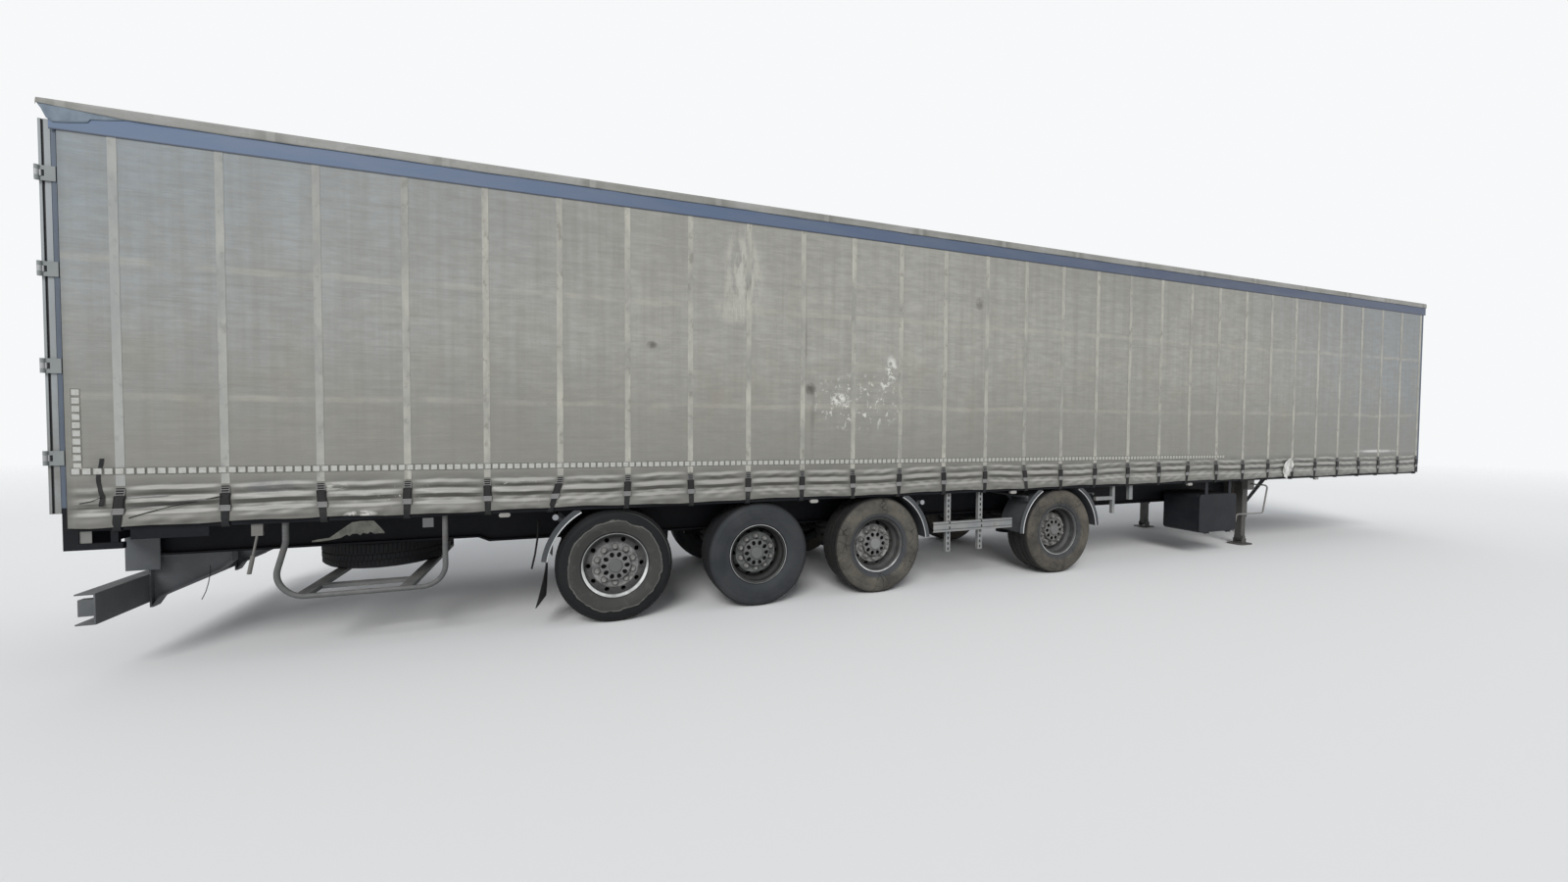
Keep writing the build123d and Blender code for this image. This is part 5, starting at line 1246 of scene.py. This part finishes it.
form = bmesh.new()
addPrism(form, nut["washer"], -0.002, 0.005, 14, 0.96)
addPrism(form, nut["flat"] * 1.1, 0.005, nut["height"], 6, 0.93)
addPrism(form, nut["stud"], nut["height"], nut["studHeight"], 10, 0.8)
nutPattern = formObject("nutPattern", form)
nutFinish = dustyPaint("nutSteel", (0.24, 0.235, 0.225), (0.33, 0.32, 0.3), 0.5, 0.45, 0.05)
for number, x, side, label in wheelPlaces:
    disc = wheels["flushDisc"] if number == 1 else wheels["dishedDisc"]
    ring = ringPiece(nutPattern, wheels["nuts"], wheels["nutRing"], math.pi / wheels["nuts"], nutFinish)
    ring.name = f"nuts{number}{label.capitalize()}"
    ring.data.transform(Matrix.Translation((x, side * disc, tyre["radius"])) @ axisTurn(side))
    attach(ring, f"wheel_{number}_{label}")
dropPattern(nutPattern)
print("wheel nuts fitted")

# Dust plates inside the rims, behind the discs
plate = {"bore": 0.2055, "rim": 0.2525, "place": 0.985, "thick": 0.003, "segments": 48}
plateFinish = dustyPaint("dustPlate", (0.012, 0.011, 0.01), (0.05, 0.04, 0.03), 0.5, 0.8)
for number, x, side, label in wheelPlaces:
    low, high = side * plate["place"], side * (plate["place"] + plate["thick"])
    section = [(plate["bore"], low), (plate["rim"], low), (plate["rim"], high), (plate["bore"], high)]
    made = turnSection(f"dustPlate{number}{label.capitalize()}", section, plate["segments"])
    made.data.transform(Matrix.Translation((x, 0.0, tyre["radius"])))
    made.data.materials.append(plateFinish)
    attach(made, f"wheel_{number}_{label}")
print("dust plates fitted")

# Every carried-over solid gets its finish
guard = {
    "slotFirst": 0.726, "slotPitch": 0.062, "posts": (-1.1865, -0.7365), "slotHalf": 0.0075,
    "grooves": (0.646, 0.709), "grooveHalf": 0.003,
}
seal = {"gapHalf": 0.013, "outer": 1.226, "outerHalf": 0.012, "heights": (1.203, 3.857)}
lamp = {"low": 0.988, "lowHalf": 0.008, "high": 1.102, "edges": (0.433, 0.827, 0.555, 0.707), "half": 0.007}


def guardFinish():
    # galvanised posts and rail, with painted shade round the slots and in the grooves
    made = Finish("guardZinc", 0.5, 0.2, 0.35)
    made.base = made.blend(made.flecks(6.0, 0.35, 0.7, None, 8.0), (0.2, 0.21, 0.215), (0.3, 0.295, 0.275))
    made.cover(made.flecks(12.0, 0.55, 0.7), (0.1, 0.095, 0.085), 0.4)
    depth = made.math("ABSOLUTE", made.y)
    turned = made.math("DIVIDE", made.math("SUBTRACT", made.z, guard["slotFirst"]), guard["slotPitch"])
    turned = made.math("FRACT", made.math("ADD", turned, 0.5))
    slotShade = made.math("ADD", *(made.band(made.x, x, guard["slotHalf"], 0.003) for x in guard["posts"]))
    slotShade = made.times(made.times(slotShade, made.band(turned, 0.5, 0.24, 0.05)), made.level(depth, 1.19, 1.2))
    made.cover(slotShade, (0.012, 0.012, 0.012))
    # painted shade in the rail's grooves
    lines = made.math("ADD", *(made.band(made.z, z, guard["grooveHalf"], 0.002) for z in guard["grooves"]))
    lines = made.times(lines, made.level(depth, 1.22, 1.226))
    made.cover(lines, (0.05, 0.05, 0.05), 0.8)
    made.paint(made.base)
    made.bump(made.noise(38.0, 6.0, None, 0.7), 0.0006, 0.35)
    return made.material


def railFinish():
    # navy paint, paler towards the rear, under a film of dust, with a dark lower lip
    made = Finish("railPaint", 0.5)
    made.base = made.blend(made.level(made.x, -8.6, 3.0), (0.085, 0.135, 0.23), (0.052, 0.07, 0.12))
    film = made.flecks(4.0, 0.3, 0.75, (0.4, 1.0, 1.5), 8.0)
    made.cover(film, (0.17, 0.185, 0.2), 0.3)
    made.cover(made.level(made.z, 3.812, 3.804, 0.0, 0.7), (0.02, 0.024, 0.035))
    made.paint(made.base)
    made.bump(made.noise(3.0, 3.0, (1.0, 1.0, 3.0)), 0.004, 0.3)
    return made.material


def doorFinish():
    # dusty paint with black seals round both doors and grime that rises from their foot
    made = Finish("doorSkin", 0.45)
    clouds = made.flecks(2.0, 0.3, 0.75, (1.0, 3.0, 0.5))
    made.base = made.blend(clouds, (0.3, 0.325, 0.335), (0.235, 0.25, 0.25))
    made.cover(made.flecks(3.0, 0.45, 0.75, (1.0, 7.0, 0.35)), (0.15, 0.148, 0.135), 0.5)
    made.cover(made.times(made.level(made.z, 2.6, 1.2), made.flecks(5.0, 0.2, 0.7)), (0.15, 0.142, 0.12))
    across = made.math("ABSOLUTE", made.y)
    lines = made.band(across, 0.012, seal["gapHalf"], 0.002)
    lines = made.math("MAXIMUM", lines, made.band(across, seal["outer"], seal["outerHalf"], 0.002))
    for z in seal["heights"]:
        lines = made.math("MAXIMUM", lines, made.band(made.z, z, seal["gapHalf"], 0.002))
    rearFace = made.times(made.level(made.x, -8.58, -8.585), made.level(across, 1.241, 1.239))
    made.cover(made.times(lines, rearFace), (0.012, 0.012, 0.013))
    made.paint(made.base)
    made.bump(made.noise(38.0, 6.0, None, 0.7), 0.0006, 0.35)
    return made.material


def lampFinish():
    # lenses of three colours in a black frame, ribbed across
    made = Finish("rearLens", 0.3)
    across = made.math("ABSOLUTE", made.y)
    made.base = made.blend(made.level(across, 0.554, 0.556), (0.42, 0.4, 0.38), (0.27, 0.016, 0.014))
    made.cover(made.level(across, 0.706, 0.708), (0.42, 0.13, 0.02))
    made.cover(made.flecks(5.0, 0.3, 0.75), (0.1, 0.085, 0.065), 0.45)
    dark = made.band(made.z, lamp["low"], lamp["lowHalf"], 0.001)
    dark = made.math("MAXIMUM", made.level(made.x, -8.575, -8.571), dark)
    for value, middle in [(made.z, lamp["high"])] + [(across, edge) for edge in lamp["edges"]]:
        dark = made.math("MAXIMUM", dark, made.band(value, middle, lamp["half"], 0.001))
    made.cover(dark, (0.012, 0.012, 0.012))
    made.paint(made.base)
    made.bump(made.math("SINE", made.times(made.y, 900.0)), 0.0008, 0.4)
    return made.material


slotOf = {part["node"]: part["material_slot"] for part in frame["record"]["subparts"]}
fittingFinish = dustyPaint("fittingZinc", (0.42, 0.43, 0.43), roadDust, 0.3, 0.4, 0.12, 0.55)
doorSkin = doorFinish()
ownFinishes = {
    "door_panel_left": doorSkin,
    "door_panel_right": doorSkin,
    "door_fittings_left": fittingFinish,
    "door_fittings_right": fittingFinish,
    "rear_lamps": lampFinish(),
    "cant_rails": railFinish(),
    "underrun_guard": dustyPaint(
        "underrunPaint", (0.098, 0.105, 0.113), (0.21, 0.21, 0.2), 0.6, 0.55, 0.2, specular=0.3,
    ),
    "spare_basket": dustyPaint(
        "basketPaint", (0.1, 0.102, 0.103), (0.3, 0.295, 0.275), 0.65, 0.55, 0.2, specular=0.3,
    ),
    "side_guards": guardFinish(),
    "landing_crank": dustyPaint("crankSteel", (0.19, 0.188, 0.18), roadDust, 0.5, 0.55, 0.25),
    "hanging_rod": dustyPaint("rodSteel", (0.16, 0.155, 0.145), roadDust, 0.5, 0.55, 0.3),
    "hinge_brackets": dustyPaint("hingeSteel", (0.23, 0.25, 0.25), roadDust, 0.4, 0.5, 0.2),
    "mudguards": dustyPaint(
        "mudguardPlastic", (0.052, 0.057, 0.063), (0.17, 0.172, 0.168), 0.5, 0.5, specular=0.3,
    ),
}
for number, (x, look) in enumerate(zip(wheels["axles"], rimLooks), start=1):
    disc = wheels["flushDisc"] if number == 1 else wheels["dishedDisc"]
    painted = rimFinish(f"rimPaint{number}", x, disc, look)
    for label in ("right", "left"):
        ownFinishes[f"wheel_{number}_{label}"] = painted
for name, obj in nodes.items():
    material = ownFinishes.get(name, finishes.get(slotOf[name]))
    if material:
        for place in obj.material_slots:
            place.material = material
print("solids painted")


# Bright trim along the mudguards' inner edges, and the rear flaps
trim = {
    "radius": 0.59, "place": 1.2495, "thick": 0.0058, "steps": 26,
    "arcs": [(0, 120, 172), (2, 5, 61), (3, 120, 179), (3, 4, 61)],
}
flap = {
    "face": -5.466, "top": 0.638, "bend": 0.6, "bottom": 0.206, "near": 1.243, "far": 0.858, "thick": 0.006,
    "columns": 8, "rows": 16, "nearSwing": 0.09, "farSwing": 0.018,
}


def makeTrim(settings):
    form = bmesh.new()
    for side in (-1, 1):
        for axle, start, end in settings["arcs"]:
            points = []
            for angle in np.linspace(math.radians(start), math.radians(end), settings["steps"]):
                x = wheels["axles"][axle] + settings["radius"] * math.cos(angle)
                z = tyre["radius"] + settings["radius"] * math.sin(angle)
                points.append((x, side * settings["place"], z))
            addTube(form, points, settings["thick"])
    bright = dustyPaint("brightTrim", (0.62, 0.63, 0.63), roadDust, 0.25, 0.35, 0.0, 0.3)
    return formObject("mudguardTrim", form, bright, smooth=True)


def makeFlap(side, settings):
    # one rubber flap, blown back at its outer lower corner
    points = []
    for i in range(settings["columns"] + 1):
        t = i / settings["columns"]
        for j in range(settings["rows"] + 1):
            z = settings["top"] + (settings["bottom"] - settings["top"]) * j / settings["rows"]
            drop = max(0.0, (settings["bend"] - z) / (settings["bend"] - settings["bottom"]))
            swing = settings["farSwing"] + (settings["nearSwing"] - settings["farSwing"]) * t ** 1.3
            wave = 0.004 * drop * math.sin(5.0 * t + 3.0 * drop)
            y = side * (settings["far"] + (settings["near"] - settings["far"]) * t)
            points.append((settings["face"] - settings["thick"] / 2 - swing * drop ** 1.3 + wave, y, z))
    obj = meshObject("flap", points, gridFaces(settings["columns"], settings["rows"], side > 0), flapFinish)
    solidify(obj, settings["thick"], 0.0)
    return bake(obj)


made = makeTrim(trim)
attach(made, "chassis")
flapFinish = dustyPaint("flapRubber", (0.022, 0.023, 0.024), (0.1, 0.098, 0.09), 0.6, 0.7, specular=0.25)
made = joinPieces("mudFlaps", [makeFlap(-1, flap), makeFlap(1, flap)])
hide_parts("mud_flaps")
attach(made, "chassis")
print("mudguards trimmed")

# Rags and scraps seen on the right side: columns of place, upper and lower edge
scrapThick = 0.0015
scraps = [
    {
        "name": "whiteRag", "depth": 1.2905, "wave": 0.009, "rows": 26, "holds": "hung", "rests": ["buckles"],
        # the rag's darker colour is painted shade in its creases
        "colour": ((0.62, 0.61, 0.585), (0.2, 0.195, 0.18)), "slot": "curtain_cloth",
        "edge": [
            (4.786, 1.214, 1.15), (4.8, 1.25, 1.118), (4.8135, 1.272, 1.092), (4.832, 1.3, 1.1),
            (4.85, 1.33, 1.066), (4.872, 1.342, 1.078),
            (4.891, 1.364, 1.066), (4.912, 1.36, 1.108), (4.932, 1.376, 1.122), (4.95, 1.37, 1.168),
            (4.969, 1.384, 1.172), (4.99, 1.366, 1.214),
            (5.01, 1.37, 1.222), (5.03, 1.342, 1.262),
        ],
    },
    {
        "name": "tornScrap", "depth": 1.2555, "wave": 0.004, "rows": 10, "holds": "hung",
        "rests": ["side_rails"],
        "colour": ((0.11, 0.108, 0.094), (0.055, 0.054, 0.048)), "slot": "curtain_cloth",
        "edge": [
            (-7.143, 0.914, 0.902), (-7.09, 0.922, 0.903), (-7.03, 0.93, 0.91), (-6.96, 0.985, 0.922),
            (-6.92, 1.015, 0.946), (-6.9, 1.03, 0.934),
            (-6.884, 1.042, 0.95), (-6.85, 1.047, 0.952), (-6.83, 1.05, 0.936), (-6.81, 1.05, 0.954),
            (-6.778, 1.05, 0.945), (-6.76, 1.05, 0.962),
            (-6.736, 1.048, 0.942), (-6.7, 1.0, 0.945), (-6.666, 0.955, 0.943),
        ],
    },
    {
        "name": "cornerFlap", "depth": 1.2705, "wave": 0.0012, "rows": 8, "holds": "hung",
        "rests": ["cant_rails", "roof_tarpaulin"],
        "colour": ((0.2, 0.245, 0.29), (0.15, 0.185, 0.225)), "slot": "roof_cloth",
        "edge": [
            (-8.596, 3.99, 3.965), (-8.575, 3.99, 3.93), (-8.55, 3.985, 3.87), (-8.52, 3.985, 3.846),
            (-8.45, 3.98, 3.852), (-8.4, 3.98, 3.862),
            (-8.345, 3.975, 3.873), (-8.33, 3.975, 3.895), (-8.25, 3.97, 3.905), (-8.14, 3.965, 3.926),
        ],
    },
]


def makeScrap(settings):
    # a piece of cloth between an upper and a lower edge
    rows = settings["rows"]
    points = []
    for x, high, low in settings["edge"]:
        for j in range(rows + 1):
            z = high + (low - high) * j / rows
            wave = settings["wave"] * (math.sin(x * 75 - z * 33) * 0.6 + math.sin(z * 52 + x * 21) * 0.4)
            points.append((x, -settings["depth"] - wave, z))
    look = Finish(settings["name"] + "Cloth", 0.8, 0.0, 0.3)
    look.paint(look.blend(look.flecks(11.0, 0.42, 0.66, (1.6, 1.0, 0.7)), *settings["colour"]))
    obj = meshObject(settings["name"], points, gridFaces(len(settings["edge"]) - 1, rows), look.material)
    solidify(obj, scrapThick, 0.0)
    bake(obj)
    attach(obj, "chassis")


for settings in scraps:
    makeScrap(settings)

# Small pieces: a loose strap end, thin wires, caps of the mudguard stays, a blank plate, the sill's end block
strapEnd = {
    "width": 0.023, "thick": 0.0015, "low": 1.235, "high": 1.57, "rows": 24, "place": -8.335, "lift": 0.0015,
    "wave": 0.011, "waves": 21, "waveFrom": 1.2, "hangFrom": 1.34, "hang": 0.1,
}
wireLines = [
    (0.009, [(-5.545, -0.9, 0.92), (-5.556, -0.86, 0.76), (-5.58, -0.85, 0.6), (-5.61, -0.85, 0.466)]),
    (0.003, [
        (-7.922, -0.9, 0.7), (-7.922, -0.9, 0.644), (-7.936, -0.9, 0.56), (-7.952, -0.9, 0.497),
        (-7.978, -0.9, 0.436),
    ]),
    (0.0035, [
        (-8.186, -1.277, 1.148), (-8.072, -1.279, 1.187), (-7.948, -1.28, 1.222), (-7.808, -1.28, 1.252),
        (-7.672, -1.278, 1.284),
    ]),
    (0.0025, [(-8.44, -1.275, 1.259), (-8.376, -1.277, 1.274), (-8.326, -1.277, 1.298)]),
]
stayCap = {
    "ring": 0.7, "places": [(0, 137), (2, 40)], "back": 1.2435, "face": 1.2515, "radius": 0.026, "sides": 20,
}
loose = stripPattern("looseEnd", strapEnd)
looseStrap = makeRow("looseStrap", loose, -1, 1, (strapEnd["place"], 0.0, 0.0), (1.0, 0.0, 0.0), strapFinish)
layOn(looseStrap, -1, strapEnd["lift"])
for vertex in looseStrap.data.vertices:
    vertex.co.x += strapEnd["wave"] * math.sin((vertex.co.z - strapEnd["waveFrom"]) * strapEnd["waves"])
    vertex.co.y -= max(0.0, strapEnd["hangFrom"] - vertex.co.z) * strapEnd["hang"]
dropPattern(loose)
form = bmesh.new()
for radius, points in wireLines:
    addTube(form, points, radius)
wires = formObject("looseWires", form, strapFinish, smooth=True)
form = bmesh.new()
for side in (-1, 1):
    for axle, turn in stayCap["places"]:
        x = wheels["axles"][axle] + stayCap["ring"] * math.cos(math.radians(turn))
        z = tyre["radius"] + stayCap["ring"] * math.sin(math.radians(turn))
        ends = [(x, side * stayCap["back"], z), (x, side * stayCap["face"], z)]
        addTube(form, ends, stayCap["radius"], stayCap["sides"])
stayCaps = formObject("stayCaps", form, dustyPaint("capPlastic", (0.3, 0.31, 0.33), roadDust, 0.35, 0.5))
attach(stayCaps, "chassis")


def smallPlate(name, low, high, material, bevel):
    form = bmesh.new()
    addBox(form, low, high)
    return formObject(name, form, material, bevel, 1)


agedPlate = dustyPaint("agedPlate", (0.1, 0.105, 0.11), roadDust, 0.5)
wornBlock = dustyPaint("wornBlock", (0.2, 0.205, 0.19), roadDust, 0.5)
plateBlank = smallPlate("blankPlate", (-6.402, -1.2518, 0.973), (-6.324, -1.25, 1.05), agedPlate, 0.0004)
endBlock = smallPlate("sillBlock", (-8.478, -1.2425, 0.977), (-8.4, -1.2385, 1.074), wornBlock, 0.0006)
smallPieces = [
    (looseStrap, "buckle_steel"), (wires, "buckle_steel"), (plateBlank, "door_steel"),
    (endBlock, "chassis_paint"),
]
for made, name in smallPieces:
    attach(made, "chassis")
print("small pieces added")

# Floor: pale, fading into the background, and open from below
ground = {"half": 60.0, "level": -0.001, "near": 17.0, "far": 38.0, "colour": (0.8, 0.8, 0.79, 1)}


def makeFloor(settings):
    made = Finish("paleFloor", 0.9)
    made.shader.inputs["Base Color"].default_value = settings["colour"]
    fade = made.level(made.reach(made.x, made.y), settings["near"], settings["far"])
    under = made.add("ShaderNodeNewGeometry").outputs["Backfacing"]
    seeThrough = made.math("MAXIMUM", fade, under)
    clear = made.add("ShaderNodeBsdfTransparent")
    mixed = made.add("ShaderNodeMixShader", {0: seeThrough, 1: made.shader.outputs[0], 2: clear.outputs[0]})
    made.tree.links.new(mixed.outputs[0], made.tree.nodes["Material Output"].inputs["Surface"])
    half, level = settings["half"], settings["level"]
    corners = [(-half, -half, level), (half, -half, level), (half, half, level), (-half, half, level)]
    return meshObject("floor", corners, [(0, 1, 2, 3)], made.material, False)


makeFloor(ground)

print("done")
